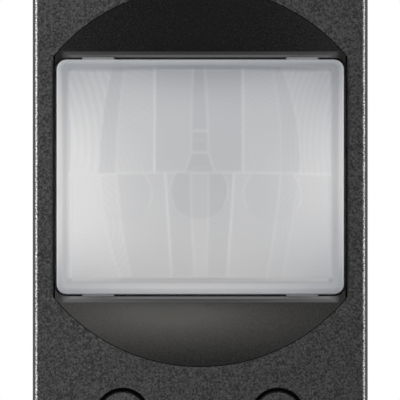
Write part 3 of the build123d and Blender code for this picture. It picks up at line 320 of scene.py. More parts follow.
# Stops of the colour ramps: the place on the pattern, and the colour there
BLACK, WHITE = (0, 0, 0), (1, 1, 1)
PAINT_STOPS = ((0.36, (0.019, 0.0187, 0.0193)), (0.86, (0.087, 0.085, 0.086)))
EDGE_HIGHLIGHT_STOPS = ((0.36, (0.08, 0.08, 0.08)), (0.66, (0.75, 0.74, 0.73)))
EDGE_LINE_STOPS = ((0, BLACK), (0.5, WHITE), (1, BLACK))
DISH_STOPS = ((0.25, (0.0058, 0.0058, 0.006)), (1, (0.105, 0.103, 0.097)))
# Painted light on the rails, the lower lighter than the upper, and how far it reaches down their slopes
RAIL_LIGHT_STOPS = ((0.3, (0.27, 0.27, 0.273)), (0.7, (0.15, 0.15, 0.152)))
RAIL_SLOPE_LIGHT_STOPS = ((0, BLACK), (0.25, (0.54, 0.54, 0.54)), (0.75, (0.66, 0.66, 0.66)), (1, WHITE))
LENS_STOPS = ((0.42, (0.205, 0.205, 0.208)), (0.6, (0.362, 0.375, 0.402)), (1, (0.783, 0.781, 0.782)))

# Colours of single finishes
PAINT_COLOUR, PAINT_TINT = (0.05, 0.05, 0.051), (0.12, 0.12, 0.12)
# Bare plastic in the button holes, also the painted shade of their gaps
BARE_AND_SHADE_COLOUR = (0.004, 0.004, 0.004)
DISH_COLOUR = (0.03, 0.03, 0.03)
LENS_COLOUR = (0.6, 0.61, 0.625)
BOARD_COLOUR, BOARD_PALER, TRACK_COLOUR = (0.02, 0.13, 0.05), (0.024, 0.15, 0.06), (0.06, 0.24, 0.09)

# Plain finishes by their material slot: colour and roughness
MOULDED = {
    "black_moulding": ((0.022, 0.022, 0.023), 0.5),
    "grey_moulding": ((0.3, 0.31, 0.32), 0.5),
    "light_grey_moulding": ((0.52, 0.53, 0.53), 0.48),
    "white_ceramic": ((0.72, 0.7, 0.65), 0.55),
    "chip_black": ((0.02, 0.02, 0.02), 0.55),
    "ferrite": ((0.07, 0.07, 0.07), 0.6),
}
GLOSSY = {
    "sensor_window": ((0.03, 0.03, 0.035), 0.12),
    "led_red": ((0.5, 0.03, 0.02), 0.15),
    "trimmer_blue": ((0.03, 0.11, 0.4), 0.35),
    "trimmer_white": ((0.68, 0.68, 0.66), 0.4),
    "relay_blue": ((0.02, 0.1, 0.3), 0.3),
    "film_yellow": ((0.7, 0.46, 0.05), 0.3),
    "can_sleeve": ((0.03, 0.03, 0.04), 0.3),
    "varistor_blue": ((0.04, 0.13, 0.38), 0.35),
}
PLATED = {
    "sensor_metal": ((0.6, 0.6, 0.6), 0.28),
    "copper_wire": ((0.6, 0.25, 0.1), 0.35),
    "header_gold": ((0.75, 0.55, 0.2), 0.25),
    "contact_brass": ((0.7, 0.52, 0.22), 0.32),
    "screw_steel": ((0.55, 0.55, 0.53), 0.3),
    "cage_steel": ((0.6, 0.56, 0.44), 0.34),
}

# Soft panels: name, azimuth and elevation in degrees, distance, width and height in metres, and radiance
PANELS = (
    ("top_panel", 10, 36, 0.6, 0.7, 0.4, 1.6),
    ("front_panel", 0, 6, 0.8, 0.6, 0.4, 0.9),
    ("left_panel", -88, 5, 0.6, 0.3, 0.5, 6.0),
    ("right_panel", 90, 5, 0.6, 0.3, 0.5, 5.0),
)

# Light from all round, and the paper that the switch stands on
SOFT_LIGHT = (0.25, 0.25, 0.252)
FLOOR_SIZE = 1400 * MM
PAPER_COLOUR, PAPER_GLOW = (0.85, 0.85, 0.85), (0.5, 0.5, 0.5)


def drop_selection():
    """Nothing is selected, so that the next operator acts on its own piece alone."""
    if bpy.context.mode != "OBJECT":
        bpy.ops.object.mode_set(mode="OBJECT")
    bpy.ops.object.select_all(action="DESELECT")


def take(piece):
    """Selects one piece and makes it the active one."""
    drop_selection()
    piece.select_set(True)
    bpy.context.view_layer.objects.active = piece


def join(piece, others):
    """Makes other pieces part of one."""
    take(piece)
    for other in others:
        other.select_set(True)
    bpy.ops.object.join()


def points_of(piece):
    """The piece's points as rows of x, y and z."""
    found = np.empty(len(piece.data.vertices) * 3)
    piece.data.vertices.foreach_get("co", found)
    return found.reshape(-1, 3)


def set_points(piece, points):
    """Moves the piece's points."""
    piece.data.vertices.foreach_set("co", np.ascontiguousarray(points, dtype=float).ravel())
    piece.data.update()


def depth_inside(x, z, centre_z, half_w, half_h, corner):
    """How deep each point lies inside a rounded rectangle."""
    over_x = np.abs(x) - (half_w - corner)
    over_z = np.abs(z - centre_z) - (half_h - corner)
    outside = np.hypot(np.maximum(over_x, 0), np.maximum(over_z, 0))
    return corner - outside - np.minimum(np.maximum(over_x, over_z), 0)


def arched(x, z):
    """Heights measured from the gentle arch that the rows of segments follow."""
    return z - ARCH * (1 - (x / PANEL_HALF_W) ** 2)


def shoulder(x, z):
    """From 0 on the rim to 1 on the barrel."""
    top = LENS_Z + LENS_HALF_H - RIM_TOP
    foot = LENS_Z - LENS_HALF_H + RIM_FOOT
    half_w = LENS_HALF_W - RIM_SIDE
    lift = TOP_ARCH * (x / half_w) ** 2 * np.clip((z - LENS_Z) / LENS_HALF_H, 0, 1)
    depth = depth_inside(x, z + lift, (top + foot) / 2, half_w, (top - foot) / 2, SHOULDER_CORNER_R)
    share = np.clip(depth / SHOULDER_W, 0, 1)
    return share * share * (3 - 2 * share)


def rise(x, z):
    """How far the lens stands proud of its rim, without its fine lines."""
    reach = np.minimum(np.abs(x), PANEL_HALF_W)
    barrel = np.sqrt(BARREL_R**2 - reach**2) - math.sqrt(BARREL_R**2 - PANEL_HALF_W**2)
    edge = depth_inside(x, z, LENS_Z, LENS_HALF_W, LENS_HALF_H, LENS_CORNER_R)
    bend = RIM_ROUND - np.clip(edge, 0, RIM_ROUND)
    rounding = RIM_ROUND - np.sqrt(RIM_ROUND**2 - bend**2)
    height = np.abs(z - (PANEL_TOP_Z + PANEL_FOOT_Z) / 2) / ((PANEL_TOP_Z - PANEL_FOOT_Z) / 2)
    pillow = 1 - PILLOW_DROP_SHARE * np.minimum(height, 1) ** PILLOW_POWER
    return shoulder(x, z) * (SHOULDER_RISE + barrel * pillow) - rounding


def through(line, share):
    """A smooth line through its three places, at a share of the way down."""
    top, middle, foot = line
    bow = 4 * middle - 2 * top - 2 * foot
    return top + (foot - top) * share + bow * share * (1 - share)


def row_pattern(x, z, top_z, foot_z, lines, flares, line_shares, tone_shares, grooves):
    """Tone, line strength and groove height of one row of segments."""
    share = np.clip((top_z - z) / (top_z - foot_z), 0, 1)
    segment = np.zeros(x.shape, int)
    ridge = np.zeros(x.shape)
    flared = np.clip((share - FLARE_START) / (1 - FLARE_START), 0, 1) ** FLARE_POWER
    for line, flare, strength in zip(lines, flares, line_shares):
        place = through(line, share) + flare * flared
        segment += x > place
        ridge = np.maximum(ridge, strength * np.exp(-(((x - place) / LINE_W) ** 2)))
    groove = np.zeros(x.shape)
    for index, (centre_x, centre_z, pitch, strength) in enumerate(grooves):
        wave = np.sin(2 * math.pi * np.hypot(x - centre_x, z - centre_z) / pitch)
        groove = np.where(segment == index, strength * wave, groove)
    return np.array(tone_shares)[segment], ridge, groove


def lens_pattern(x, z):
    """Tone, line strength and groove height all over the barrel."""
    level = arched(x, z)
    upper_row = UPPER_LINES, UPPER_FLARES, UPPER_LINE_SHARES, UPPER_TONE_SHARES, UPPER_GROOVES
    lower_row = LOWER_LINES, LOWER_FLARES, LOWER_LINE_SHARES, LOWER_TONE_SHARES, LOWER_GROOVES
    upper = row_pattern(x, level, PANEL_TOP_Z, SPLIT_Z, *upper_row)
    lower = row_pattern(x, level, SPLIT_Z, PANEL_FOOT_Z, *lower_row)
    above = level > SPLIT_Z
    tone, ridge, groove = (np.where(above, high, low) for high, low in zip(upper, lower))
    ridge = np.maximum(ridge, SPLIT_STRENGTH * np.exp(-(((level - SPLIT_Z) / LINE_W) ** 2)))
    for lobe_x, lobe_z, shade in LOBES:
        radius = np.hypot(x - lobe_x, level - lobe_z)
        inside = ~above & (radius < LOBE_R)
        tone = np.where(inside, tone - shade, tone)
        ring = LOBE_LINE_STRENGTH * np.exp(-(((radius - LOBE_R) / LINE_W) ** 2))
        ridge = np.where(above | (level < lobe_z - LOBE_R / 2), ridge, np.maximum(ridge, ring))
    for height, strength in RUNGS:
        rung = strength * np.exp(-(((level - height) / LINE_W) ** 2))
        ridge = np.where(np.abs(x) < RUNG_HALF_W, np.maximum(ridge, rung), ridge)
    return tone, ridge, groove


def spread(half, pitch, edge_pitch, edge_band):
    """Places from one side to the other, closer together near both edges."""
    inner = half - edge_band
    middle = np.linspace(-inner, inner, 2 * round(inner / pitch) + 1)
    border = np.linspace(inner, half, round(edge_band / edge_pitch) + 1)[1:]
    return np.concatenate((-border[::-1], middle, border))


def lens_sheet(name, half_w, half_h, corner, xs, zs):
    """A flat sheet with the lens's outline, its points spread along two lists of places."""
    drop_selection()
    bpy.ops.mesh.primitive_grid_add(x_subdivisions=len(xs) - 1, y_subdivisions=len(zs) - 1, size=1)
    sheet = bpy.context.active_object
    sheet.name = sheet.data.name = name
    flat = points_of(sheet)
    column = np.rint((flat[:, 0] + 0.5) * (len(xs) - 1)).astype(int)
    row = np.rint((flat[:, 1] + 0.5) * (len(zs) - 1)).astype(int)
    x, z = xs[column], zs[row]
    past = np.clip(np.abs(z) - (half_h - corner), 0, corner)
    limit = half_w - corner + np.sqrt(corner**2 - past**2)
    free = half_w - 2 * corner
    squeeze = (limit - free) / (half_w - free)
    x = np.sign(x) * np.where(np.abs(x) > free, free + (np.abs(x) - free) * squeeze, np.abs(x))
    set_points(sheet, np.stack((x, np.zeros(x.shape), z + LENS_Z), axis=1))
    return sheet


def edit_open_edges(piece):
    """Enters edit mode with the open edges selected."""
    take(piece)
    bpy.ops.object.mode_set(mode="EDIT")
    bpy.ops.mesh.select_mode(type="EDGE")
    bpy.ops.mesh.select_all(action="DESELECT")
    bpy.ops.mesh.select_non_manifold(
        extend=False, use_wire=False, use_boundary=True, use_multi_face=False,
        use_non_contiguous=False, use_verts=False,
    )


def pull(y):
    """Extrudes what is selected along Y."""
    bpy.ops.mesh.extrude_region_move(TRANSFORM_OT_translate={"value": (0, y, 0)})


def widen_edges(wide, high):
    """Extrudes the selected edges in their plane, scaled about the middle of the lens."""
    pull(0)
    bpy.ops.transform.resize(value=(wide, 1, high), center_override=(0, 0, LENS_Z))


def lens_front():
    """The dense front of the lens with its walls and flange, open at the back."""
    xs = spread(LENS_HALF_W, PITCH, EDGE_PITCH, EDGE_BAND)
    zs = spread(LENS_HALF_H, PITCH, EDGE_PITCH, EDGE_BAND)
    front = lens_sheet("segment_lens", LENS_HALF_W, LENS_HALF_H, LENS_CORNER_R, xs, zs)
    points = points_of(front)
    x, z = points[:, 0], points[:, 2]
    ridge, groove = lens_pattern(x, z)[1:]
    relief = shoulder(x, z) * (LINE_RISE * ridge + GROOVE_DEPTH * groove)
    points[:, 1] = RIM_Y - rise(x, z) - relief
    set_points(front, points)
    flange_y = LENS_BACK_Y - FLANGE_T
    edit_open_edges(front)
    pull(flange_y - RIM_Y - RIM_ROUND)
    widen_edges(FLANGE_HALF_W / LENS_HALF_W, FLANGE_HALF_H / LENS_HALF_H)
    pull(FLANGE_T)
    widen_edges((LENS_HALF_W - LENS_WALL) / FLANGE_HALF_W, (LENS_HALF_H - LENS_WALL) / FLANGE_HALF_H)
    bpy.ops.object.mode_set(mode="OBJECT")
    return front


def lens_inside():
    """The coarser inner side of the lens, with its walls down to the flange."""
    half_w, half_h = LENS_HALF_W - LENS_WALL, LENS_HALF_H - LENS_WALL
    xs = spread(half_w, INNER_PITCH, INNER_PITCH, 2 * INNER_PITCH)
    zs = spread(half_h, INNER_PITCH, INNER_PITCH, 2 * INNER_PITCH)
    inside = lens_sheet("lens_inside", half_w, half_h, LENS_WALL, xs, zs)
    points = points_of(inside)
    x = points[:, 0] * LENS_HALF_W / half_w
    z = LENS_Z + (points[:, 2] - LENS_Z) * LENS_HALF_H / half_h
    points[:, 1] = RIM_Y - rise(x, z) + LENS_SKIN
    set_points(inside, points)
    edge_y = RIM_Y + RIM_ROUND + LENS_SKIN
    edit_open_edges(inside)
    pull(LENS_BACK_Y - edge_y)
    bpy.ops.mesh.select_all(action="SELECT")
    bpy.ops.mesh.flip_normals()
    bpy.ops.object.mode_set(mode="OBJECT")
    return inside


def tongue(x, side):
    """A small catch that reaches from the lens over the edge of its opening."""
    drop_selection()
    reach = LENS_Z + side * (LENS_HALF_H + (TONGUE_REACH - TONGUE_ROOT) / 2)
    bpy.ops.mesh.primitive_cube_add(size=1, location=(x, TONGUE_Y, reach))
    piece = bpy.context.active_object
    piece.scale = (TONGUE_W, TONGUE_T, TONGUE_REACH + TONGUE_ROOT)
    bpy.ops.object.transform_apply(location=True, rotation=True, scale=True)
    bpy.ops.object.mode_set(mode="EDIT")
    bpy.ops.mesh.select_all(action="SELECT")
    bpy.ops.mesh.bevel(offset=TONGUE_EDGE_R, segments=2)
    bpy.ops.object.mode_set(mode="OBJECT")
    return piece


def painted_lens_light(x, z):
    """Painted light and shade on the lens: lighter at its sides and halfway up, darkest at the top."""
    aside = x / PANEL_HALF_W
    right = np.maximum(aside, 0)
    height = (z - LENS_Z) / LENS_HALF_H
    above, below = np.maximum(height, 0), np.maximum(-height, 0)
    middle = PAINTED_LIGHT_MIDDLE - PAINTED_LIGHT_HEIGHT_LOSS * height - PAINTED_LIGHT_TOP_LOSS * above**4 + PAINTED_LIGHT_FOOT_GAIN * below**2
    sides = PAINTED_LIGHT_SIDE_GAIN - PAINTED_LIGHT_SIDE_TOP_LOSS * above**2 - PAINTED_LIGHT_SIDE_FOOT_LOSS * below**2
    sides -= PAINTED_LIGHT_SIDE_UPPER_LOSS * above**2 * (1 - above)
    held = middle + aside**2 * sides - PAINTED_LIGHT_ACROSS_LOSS * aside - PAINTED_LIGHT_RIGHT_LOSS * right
    return held - PAINTED_LIGHT_RIGHT_LOWER_LOSS * right**2 * below * (1 - below)


def rim_light_and_shade(x, z, end, depth, on_panel):
    """Painted light and shade of the rim, with a painted shade band between its round edge and the
    shoulder.
    """
    band_start = RIM_TOP - BAND_WIDER_TOP * np.maximum(end, 0)
    band = np.clip((depth - band_start) / BAND_FADE, 0, 1) * (1 - on_panel)
    corner = (x / LENS_HALF_W) ** 2 * np.clip(-end, 0, 1)
    in_band = band * (BAND_LOSS + BAND_TOP_LOSS * end - BAND_ENDS_GAIN * end**2)
    share = RIM_TONE + RIM_TOP_GAIN * end - RIM_ENDS_LOSS * end**2 - in_band
    return (painted_lens_light(x, z) + CORNER_GAIN * corner) * share


def slope_light_and_shade(x, z, end):
    """Painted light and shade on the shoulder's slope: lighter under the barrel, darker beside and over
    it.
    """
    beside = np.clip((np.abs(x) - PANEL_HALF_W) / SLOPE_FADE, 0, 1)
    under = np.clip((PANEL_FOOT_Z - z) / SLOPE_FADE, 0, 1) * (1 - beside)
    over = np.clip((z - PANEL_TOP_Z) / SLOPE_FADE, 0, 1) * (1 - beside)
    kept = 1 - BESIDE_FOOT_SHARE * np.clip(-end, 0, 1)
    return UNDER_GAIN * under - BESIDE_LOSS * beside * kept - OVER_LOSS * over


def lens_tone(x, z):
    """Tone of every point of the lens: its segments, its shoulder, its rim and its tongues, with the
    light, shade and highlights painted on them.
    """
    tone, ridge, groove = lens_pattern(x, z)
    on_panel = shoulder(x, z)
    depth = depth_inside(x, z, LENS_Z, LENS_HALF_W, LENS_HALF_H, LENS_CORNER_R)
    end = np.clip((z - LENS_Z) / LENS_HALF_H, -1, 1) ** 3
    # Painted light and shade: the lens's lighting, highlights on the lines, shade in the grooves, and the
    # rim's and slope's light and shade
    panel = tone * painted_lens_light(x, z) + LINE_HIGHLIGHT_SHARE * ridge + GROOVE_SHADE_SHARE * groove
    bright = on_panel * panel + (1 - on_panel) * rim_light_and_shade(x, z, end, depth, on_panel)
    bright += 4 * on_panel * (1 - on_panel) * slope_light_and_shade(x, z, end)
    # Painted highlight along the top edge of the rim
    bright += TOP_EDGE_HIGHLIGHT * np.clip(1 - depth / RIM_ROUND, 0, 1) * np.maximum(end, 0)
    return np.where(depth < -OUTLINE_SLACK, TONGUE_TONE, bright)


def white_lens():
    """The whole lens, closed, with its tone and its painted light and shade kept on its points."""
    lens = lens_front()
    join(lens, [lens_inside()])
    edit_open_edges(lens)
    bpy.ops.mesh.bridge_edge_loops()
    bpy.ops.object.mode_set(mode="OBJECT")
    join(lens, [tongue(x, side) for x in (-TONGUE_X, TONGUE_X) for side in (-1, 1)])
    bpy.ops.object.shade_smooth_by_angle(angle=LENS_SMOOTH_ANGLE)
    points = points_of(lens)
    tone = lens_tone(points[:, 0], points[:, 2])
    layer = lens.data.attributes.new("tone", "FLOAT", "POINT")
    layer.data.foreach_set("value", tone.astype(np.float32))
    return lens


def step(y, radius, from_radius):
    """Extrudes the selected round face along Y, then widens or narrows it to a radius."""
    pull(y)
    if radius != from_radius:
        pull(0)
        share = radius / from_radius
        bpy.ops.transform.resize(value=(share, 1, share))


def button_cap(node):
    """A round cap with a soft front edge, its flange behind the cover and its stem."""
    low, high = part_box(node)
    middle = (low + high) / 2
    flange_r = (high.x - low.x) / 2
    drop_selection()
    bpy.ops.mesh.primitive_circle_add(
        vertices=CAP_SIDES, radius=CAP_STEM_R, fill_type="NGON",
        location=(middle.x, high.y, middle.z), rotation=(math.radians(90), 0, 0),
    )
    cap = bpy.context.active_object
    cap.name = cap.data.name = node + "_cap"
    bpy.ops.object.transform_apply(location=True, rotation=True, scale=True)
    bpy.ops.object.mode_set(mode="EDIT")
    bpy.ops.mesh.select_mode(type="FACE")
    bpy.ops.mesh.select_all(action="SELECT")
    step(CAP_FLANGE_Y + CAP_FLANGE_T - high.y, flange_r, CAP_STEM_R)
    step(-CAP_FLANGE_T, CAP_R, flange_r)
    step(low.y - CAP_FLANGE_Y, CAP_R, CAP_R)
    bpy.ops.mesh.bevel(offset=CAP_EDGE_R, segments=CAP_EDGE_STEPS)
    bpy.ops.mesh.select_all(action="SELECT")
    bpy.ops.mesh.remove_doubles(threshold=MERGE_DISTANCE)
    bpy.ops.mesh.normals_make_consistent(inside=False)
    bpy.ops.object.mode_set(mode="OBJECT")
    bpy.ops.object.shade_smooth_by_angle(angle=CAP_SMOOTH_ANGLE)
    return cap


# Materials


def shader_of(finish):
    """The finish's shader node."""
    return finish.node_tree.nodes["Principled BSDF"]


def feed(owner, value, socket):
    """Gives an input a plain value, or joins it to another node's output."""
    if isinstance(value, bpy.types.NodeSocket):
        owner.node_tree.links.new(value, socket)
    else:
        socket.default_value = value


def new_finish(name, colour, roughness, **sockets):
    """A finish with plain values on its shader's own inputs."""
    finish = bpy.data.materials.new(name)
    finish.use_nodes = True
    sockets.update(Base_Color=(*colour, 1), Roughness=roughness)
    for key, value in sockets.items():
        feed(finish, value, shader_of(finish).inputs[key.replace("_", " ")])
    return finish


def add_node(owner, kind, **values):
    """A node whose settings are given, and then its inputs, each as a plain value or an output."""
    made = owner.node_tree.nodes.new(kind)
    for key, value in values.items():
        name = key.replace("_", " ")
        if name in made.inputs:
            feed(owner, value, made.inputs[name])
        else:
            setattr(made, key, value)
    return made


def calculate(owner, operation, *values):
    """Works out a value from patterns and plain numbers."""
    made = add_node(owner, "ShaderNodeMath", operation=operation)
    for value, socket in zip(values, made.inputs):
        feed(owner, value, socket)
    return made.outputs[0]


def onto(finish, name, pattern):
    """Joins a pattern to one of the shader's inputs."""
    feed(finish, pattern, shader_of(finish).inputs[name])


def place_node(finish):
    """The place on the piece, in metres."""
    return add_node(finish, "ShaderNodeTexCoord").outputs["Object"]


def axes(finish):
    """The place on the piece as X, Y and Z."""
    return add_node(finish, "ShaderNodeSeparateXYZ", Vector=place_node(finish)).outputs


def grain(finish, size, detail=2.0, stretch=(1, 1, 1)):
    """A cloudy pattern whose grains have about this size."""
    place = add_node(finish, "ShaderNodeMapping", Scale=stretch, Vector=place_node(finish)).outputs[0]
    noise = add_node(finish, "ShaderNodeTexNoise", Scale=1 / size, Detail=detail, Vector=place)
    return noise.outputs["Fac"]


def shift(finish, value, low, high, new_low=0.0, new_high=1.0):
    """Turns one range of a pattern into another."""
    ends = {"From_Min": low, "From_Max": high, "To_Min": new_low, "To_Max": new_high}
    return add_node(finish, "ShaderNodeMapRange", Value=value, **ends).outputs["Result"]


def ramp(finish, factor, stops):
    """Turns a pattern into a range of colours with two or more stops."""
    made = add_node(finish, "ShaderNodeValToRGB", Fac=factor)
    start, end = made.color_ramp.elements
    for element, (place, colour) in ((start, stops[0]), (end, stops[-1])):
        element.position, element.color = place, (*colour, 1)
    for place, colour in stops[1:-1]:
        made.color_ramp.elements.new(place).color = (*colour, 1)
    return made.outputs["Color"]


def blend(finish, factor, low, high):
    """Mixes two colours by a pattern."""
    made = add_node(finish, "ShaderNodeMix", data_type="RGBA", Factor=factor, A=low, B=high)
    return made.outputs["Result"]


def tint(finish, pattern, colour, spread_share):
    """Colours the finish by a pattern, from a darker to a lighter neighbour of its colour."""
    dark = tuple(value * (1 - spread_share) for value in colour)
    light = tuple(min(value * (1 + spread_share), 1) for value in colour)
    low, high = TINT_RANGE
    onto(finish, "Base Color", ramp(finish, pattern, ((low, dark), (high, light))))


def vary_roughness(finish, pattern, smooth, rough):
    """Spreads the roughness between two values by a pattern."""
    onto(finish, "Roughness", shift(finish, pattern, *ROUGH_RANGE, smooth, rough))


def emboss(finish, pattern, height, strength):
    """Raises the surface by a pattern."""
    made = add_node(finish, "ShaderNodeBump", Strength=strength, Distance=height, Height=pattern)
    onto(finish, "Normal", made.outputs["Normal"])


def bare_and_shaded_rings(finish, aside, height):
    """1 in the dark rings round the buttons and 0 elsewhere: bare plastic where the paint doesn't reach
    into the holes, and painted shade of the gaps and the holes' rounded front edges.
    """
    # One ring does for both buttons, since the distance aside has no sign
    low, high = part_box("right_button")
    place = add_node(finish, "ShaderNodeCombineXYZ", X=aside, Z=height)
    apart = add_node(finish, "ShaderNodeVectorMath", operation="DISTANCE")
    feed(finish, place.outputs[0], apart.inputs[0])
    feed(finish, ((low.x + high.x) / 2, 0, (low.z + high.z) / 2), apart.inputs[1])
    return calculate(finish, "COMPARE", apart.outputs["Value"], RING_R, RING_HALF_W)


def anthracite_paint():
    """Dark satin paint with a fine metallic speckle, a painted highlight along its two long edges, painted
    light stronger on the left, and dark rings round the buttons.
    """
    mirrored = (*PAINT_TINT, 1)
    finish = new_finish("anthracite_paint", PAINT_COLOUR, 0.4, Metallic=0.85, Specular_Tint=mirrored)
    speckle = grain(finish, PAINT_SPECK, detail=3)
    place = axes(finish)
    aside = calculate(finish, "ABSOLUTE", place["X"])
    across = shift(finish, aside, EDGE_LINE_X - EDGE_LINE_HALF_W, EDGE_LINE_X + EDGE_LINE_HALF_W)
    line = ramp(finish, across, EDGE_LINE_STOPS)
    paint = blend(finish, line, ramp(finish, speckle, PAINT_STOPS), ramp(finish, speckle, EDGE_HIGHLIGHT_STOPS))
    # Painted light, stronger on the left than on the right
    turn = shift(finish, place["X"], -EDGE_LINE_X, EDGE_LINE_X, PAINT_LEFT_LIGHT, PAINT_RIGHT_LIGHT)
    shaded = add_node(finish, "ShaderNodeVectorMath", operation="SCALE", Vector=paint, Scale=turn)
    rings = bare_and_shaded_rings(finish, aside, place["Z"])
    onto(finish, "Base Color", blend(finish, rings, shaded.outputs["Vector"], (*BARE_AND_SHADE_COLOUR, 1)))
    emboss(finish, grain(finish, PAINT_GRAIN), PAINT_RELIEF, strength=0.5)
    vary_roughness(finish, grain(finish, PAINT_CLOUD), smooth=0.36, rough=0.5)
    return finish


def with_rails(finish, scoop):
    """The scoop's colour, except on the rails close above and below the lens, which get painted light: the
    lower rail lighter than the upper, their slopes partly so.
    """
    place = axes(finish)
    away = calculate(finish, "ABSOLUTE", calculate(finish, "SUBTRACT", place["Z"], LENS_Z))
    slope = ramp(finish, shift(finish, away, RAIL_FRONT_Z, RAIL_FOOT_Z), RAIL_SLOPE_LIGHT_STOPS)
    ends = shift(finish, calculate(finish, "ABSOLUTE", place["X"]), RAIL_END_X, RAIL_CORNER_X)
    height = shift(finish, place["Z"], LENS_Z - RAIL_FRONT_Z, LENS_Z + RAIL_FRONT_Z)
    rail = ramp(finish, height, RAIL_LIGHT_STOPS)
    return blend(finish, calculate(finish, "MAXIMUM", slope, ends), rail, scoop)


def black_dish():
    """Smooth dark finish of the scoop with a fine speckle: near black above, with a painted highlight
    below the lens, painted light towards its sides and on its rails.
    """
    finish = new_finish("black_dish", DISH_COLOUR, 0.42, Specular_IOR_Level=0.06)
    moved = {"Location": SCOOP_HIGHLIGHT_PLACE, "Scale": SCOOP_HIGHLIGHT_SCALE, "Vector": place_node(finish)}
    place = add_node(finish, "ShaderNodeMapping", **moved).outputs[0]
    scoop_highlight = add_node(finish, "ShaderNodeTexGradient", gradient_type="QUADRATIC_SPHERE", Vector=place)
    across = axes(finish)["X"]
    sides = calculate(finish, "MULTIPLY", across, across)
    paler = calculate(finish, "MULTIPLY_ADD", sides, SCOOP_SIDE_LIGHT, scoop_highlight.outputs["Fac"])
    speckle = grain(finish, DISH_SPECK, detail=3)
    level = calculate(finish, "MULTIPLY_ADD", speckle, DISH_SPECK_SHARE, paler)
    onto(finish, "Base Color", with_rails(finish, ramp(finish, level, DISH_STOPS)))
    emboss(finish, grain(finish, DISH_GRAIN), DISH_RELIEF, strength=0.3)
    vary_roughness(finish, grain(finish, DISH_CLOUD), smooth=0.4, rough=0.46)
    return finish


def milky_lens():
    """Milky white moulding, whose tone comes from its segments and from the light and shade painted on its
    points.
    """
    scatter = {"Subsurface_Weight": 0.5, "Subsurface_Scale": LENS_SCATTER, "Subsurface_Radius": (1, 1, 1)}
    finish = new_finish("milky_lens", LENS_COLOUR, 0.38, **scatter)
    tone = add_node(finish, "ShaderNodeAttribute", attribute_name="tone")
    onto(finish, "Base Color", ramp(finish, tone.outputs["Fac"], LENS_STOPS))
    emboss(finish, grain(finish, LENS_GRAIN), LENS_RELIEF, strength=0.3)
    return finish


def moulding(name, colour, roughness):
    """Moulded plastic with a fine spark-eroded texture."""
    finish = new_finish(name, colour, roughness)
    tint(finish, grain(finish, MOULD_TINT_CLOUD, detail=6), colour, spread_share=0.05)
    emboss(finish, grain(finish, MOULD_GRAIN), MOULD_RELIEF, strength=0.5)
    vary_roughness(finish, grain(finish, MOULD_CLOUD), smooth=roughness - 0.06, rough=roughness + 0.06)
    return finish


def glossy_moulding(name, colour, roughness):
    """Smooth plastic or lacquer with slight clouds."""
    finish = new_finish(name, colour, roughness, IOR=1.5)
    tint(finish, grain(finish, GLOSS_TINT_CLOUD), colour, spread_share=0.1)
    vary_roughness(finish, grain(finish, GLOSS_CLOUD), smooth=roughness - 0.05, rough=roughness + 0.07)
    return finish


def plated(name, colour, roughness):
    """Plated metal, cloudy and finely drawn along one way."""
    finish = new_finish(name, colour, roughness, Metallic=1.0)
    tint(finish, grain(finish, METAL_TINT_CLOUD, detail=3), colour, spread_share=0.15)
    drawn = grain(finish, METAL_GRAIN, stretch=METAL_STRETCH)
    vary_roughness(finish, drawn, smooth=roughness - 0.08, rough=roughness + 0.1)
    emboss(finish, drawn, METAL_RELIEF, strength=0.4)
    return finish


def board_green():
    """Circuit board under its green mask, with paler tracks."""
    finish = new_finish("board_green", BOARD_COLOUR, 0.35)
    turn = (math.radians(90), 0, 0)
    place = add_node(finish, "ShaderNodeMapping", Rotation=turn, Vector=place_node(finish)).outputs[0]
    tracks = add_node(finish, "ShaderNodeTexBrick", Scale=1 / BOARD_TRACK, offset=0.5, Vector=place)
    for socket, colour in (("Color1", BOARD_COLOUR), ("Color2", BOARD_PALER), ("Mortar", TRACK_COLOUR)):
        tracks.inputs[socket].default_value = (*colour, 1)
    onto(finish, "Base Color", tracks.outputs["Color"])
    vary_roughness(finish, grain(finish, BOARD_CLOUD), smooth=0.3, rough=0.42)
    return finish


def finishes():
    """The finish for each material slot of the record."""
    made = {
        "anthracite_paint": anthracite_paint(),
        "black_dish": black_dish(),
        "white_lens": milky_lens(),
        "green_board": board_green(),
    }
    for maker, slots in ((moulding, MOULDED), (glossy_moulding, GLOSSY), (plated, PLATED)):
        for slot, (colour, roughness) in slots.items():
            made[slot] = maker(slot, colour, roughness)
    return made


def dress_nodes(made):
    """Gives every node of the frame the finish of its slot in the record."""
    for part in frame["record"]["subparts"]:
        piece = frame["nodes"][part["node"]]
        piece.data.materials.clear()
        piece.data.materials.append(made[part["material_slot"]])


# Studio


def camera():
    """The camera, level with the middle of the picture."""
    drop_selection()
    place = (CAMERA_X, FACE_Y - CAMERA_DISTANCE, CAMERA_Z)
    bpy.ops.object.camera_add(location=place, rotation=(math.radians(90), 0, 0))
    made = bpy.context.active_object
    made.data.sensor_width = SENSOR_WIDTH
    made.data.lens = SENSOR_WIDTH * CAMERA_DISTANCE / VIEW_WIDTH
    made.data.clip_start, made.data.clip_end = CAMERA_NEAR, CAMERA_FAR
    bpy.context.scene.camera = made


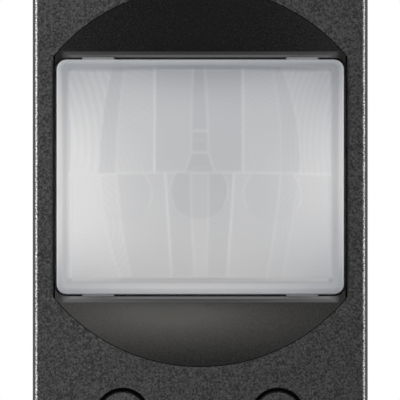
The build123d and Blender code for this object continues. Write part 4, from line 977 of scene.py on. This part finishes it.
def soft_panel(name, azimuth, elevation, distance, width, height, radiance):
    """A soft panel that looks at the switch from a direction: azimuth to the right, elevation up."""
    drop_selection()
    turn, lift = math.radians(azimuth), math.radians(elevation)
    way = Vector((math.sin(turn) * math.cos(lift), -math.cos(turn) * math.cos(lift), math.sin(lift)))
    bpy.ops.object.light_add(type="AREA", location=way * distance)
    panel = bpy.context.active_object
    panel.name = name
    panel.rotation_euler = (-way).to_track_quat("-Z", "Y").to_euler()
    panel.data.shape = "RECTANGLE"
    panel.data.size, panel.data.size_y = width, height
    panel.data.energy = radiance * math.pi * width * height


def seen_directly(owner):
    """1 where the camera, a reflection or a clear material looks, and 0 for light on surfaces."""
    path = add_node(owner, "ShaderNodeLightPath").outputs
    mirrored = calculate(owner, "MAXIMUM", path["Is Camera Ray"], path["Is Glossy Ray"])
    return calculate(owner, "MAXIMUM", mirrored, path["Is Transmission Ray"])


def world():
    """White where it is seen or mirrored, soft grey light everywhere else."""
    made = bpy.data.worlds.new("studio")
    bpy.context.scene.world = made
    made.use_nodes = True
    made.node_tree.nodes.clear()
    white = add_node(made, "ShaderNodeBackground", Color=(*WHITE, 1))
    soft = add_node(made, "ShaderNodeBackground", Color=(*SOFT_LIGHT, 1))
    mix = add_node(made, "ShaderNodeMixShader")
    for value, socket in zip((seen_directly(made), soft.outputs[0], white.outputs[0]), mix.inputs):
        feed(made, value, socket)
    add_node(made, "ShaderNodeOutputWorld", Surface=mix.outputs[0])


def floor():
    """A white floor that the switch stands on, with its shadow."""
    drop_selection()
    bpy.ops.mesh.primitive_plane_add(size=FLOOR_SIZE, location=(0, 0, cad_box[0][2]))
    made = bpy.context.active_object
    made.name = "floor"
    glowing = (*PAPER_GLOW, 1)
    paper = new_finish("white_paper", PAPER_COLOUR, 0.9, Specular_IOR_Level=0, Emission_Color=glowing)
    onto(paper, "Emission Strength", seen_directly(paper))
    made.data.materials.append(paper)


camera()
for panel in PANELS:
    soft_panel(*panel)
world()
floor()
bpy.context.scene.view_settings.view_transform = "Standard"

made = finishes()
dress_nodes(made)

lens = white_lens()
lens.data.materials.append(made["white_lens"])
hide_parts("lens")
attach(lens, "device")

for button in ("left_button", "right_button"):
    cap = button_cap(button)
    cap.data.materials.append(made["anthracite_paint"])
    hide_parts(button)
    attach(cap, button)
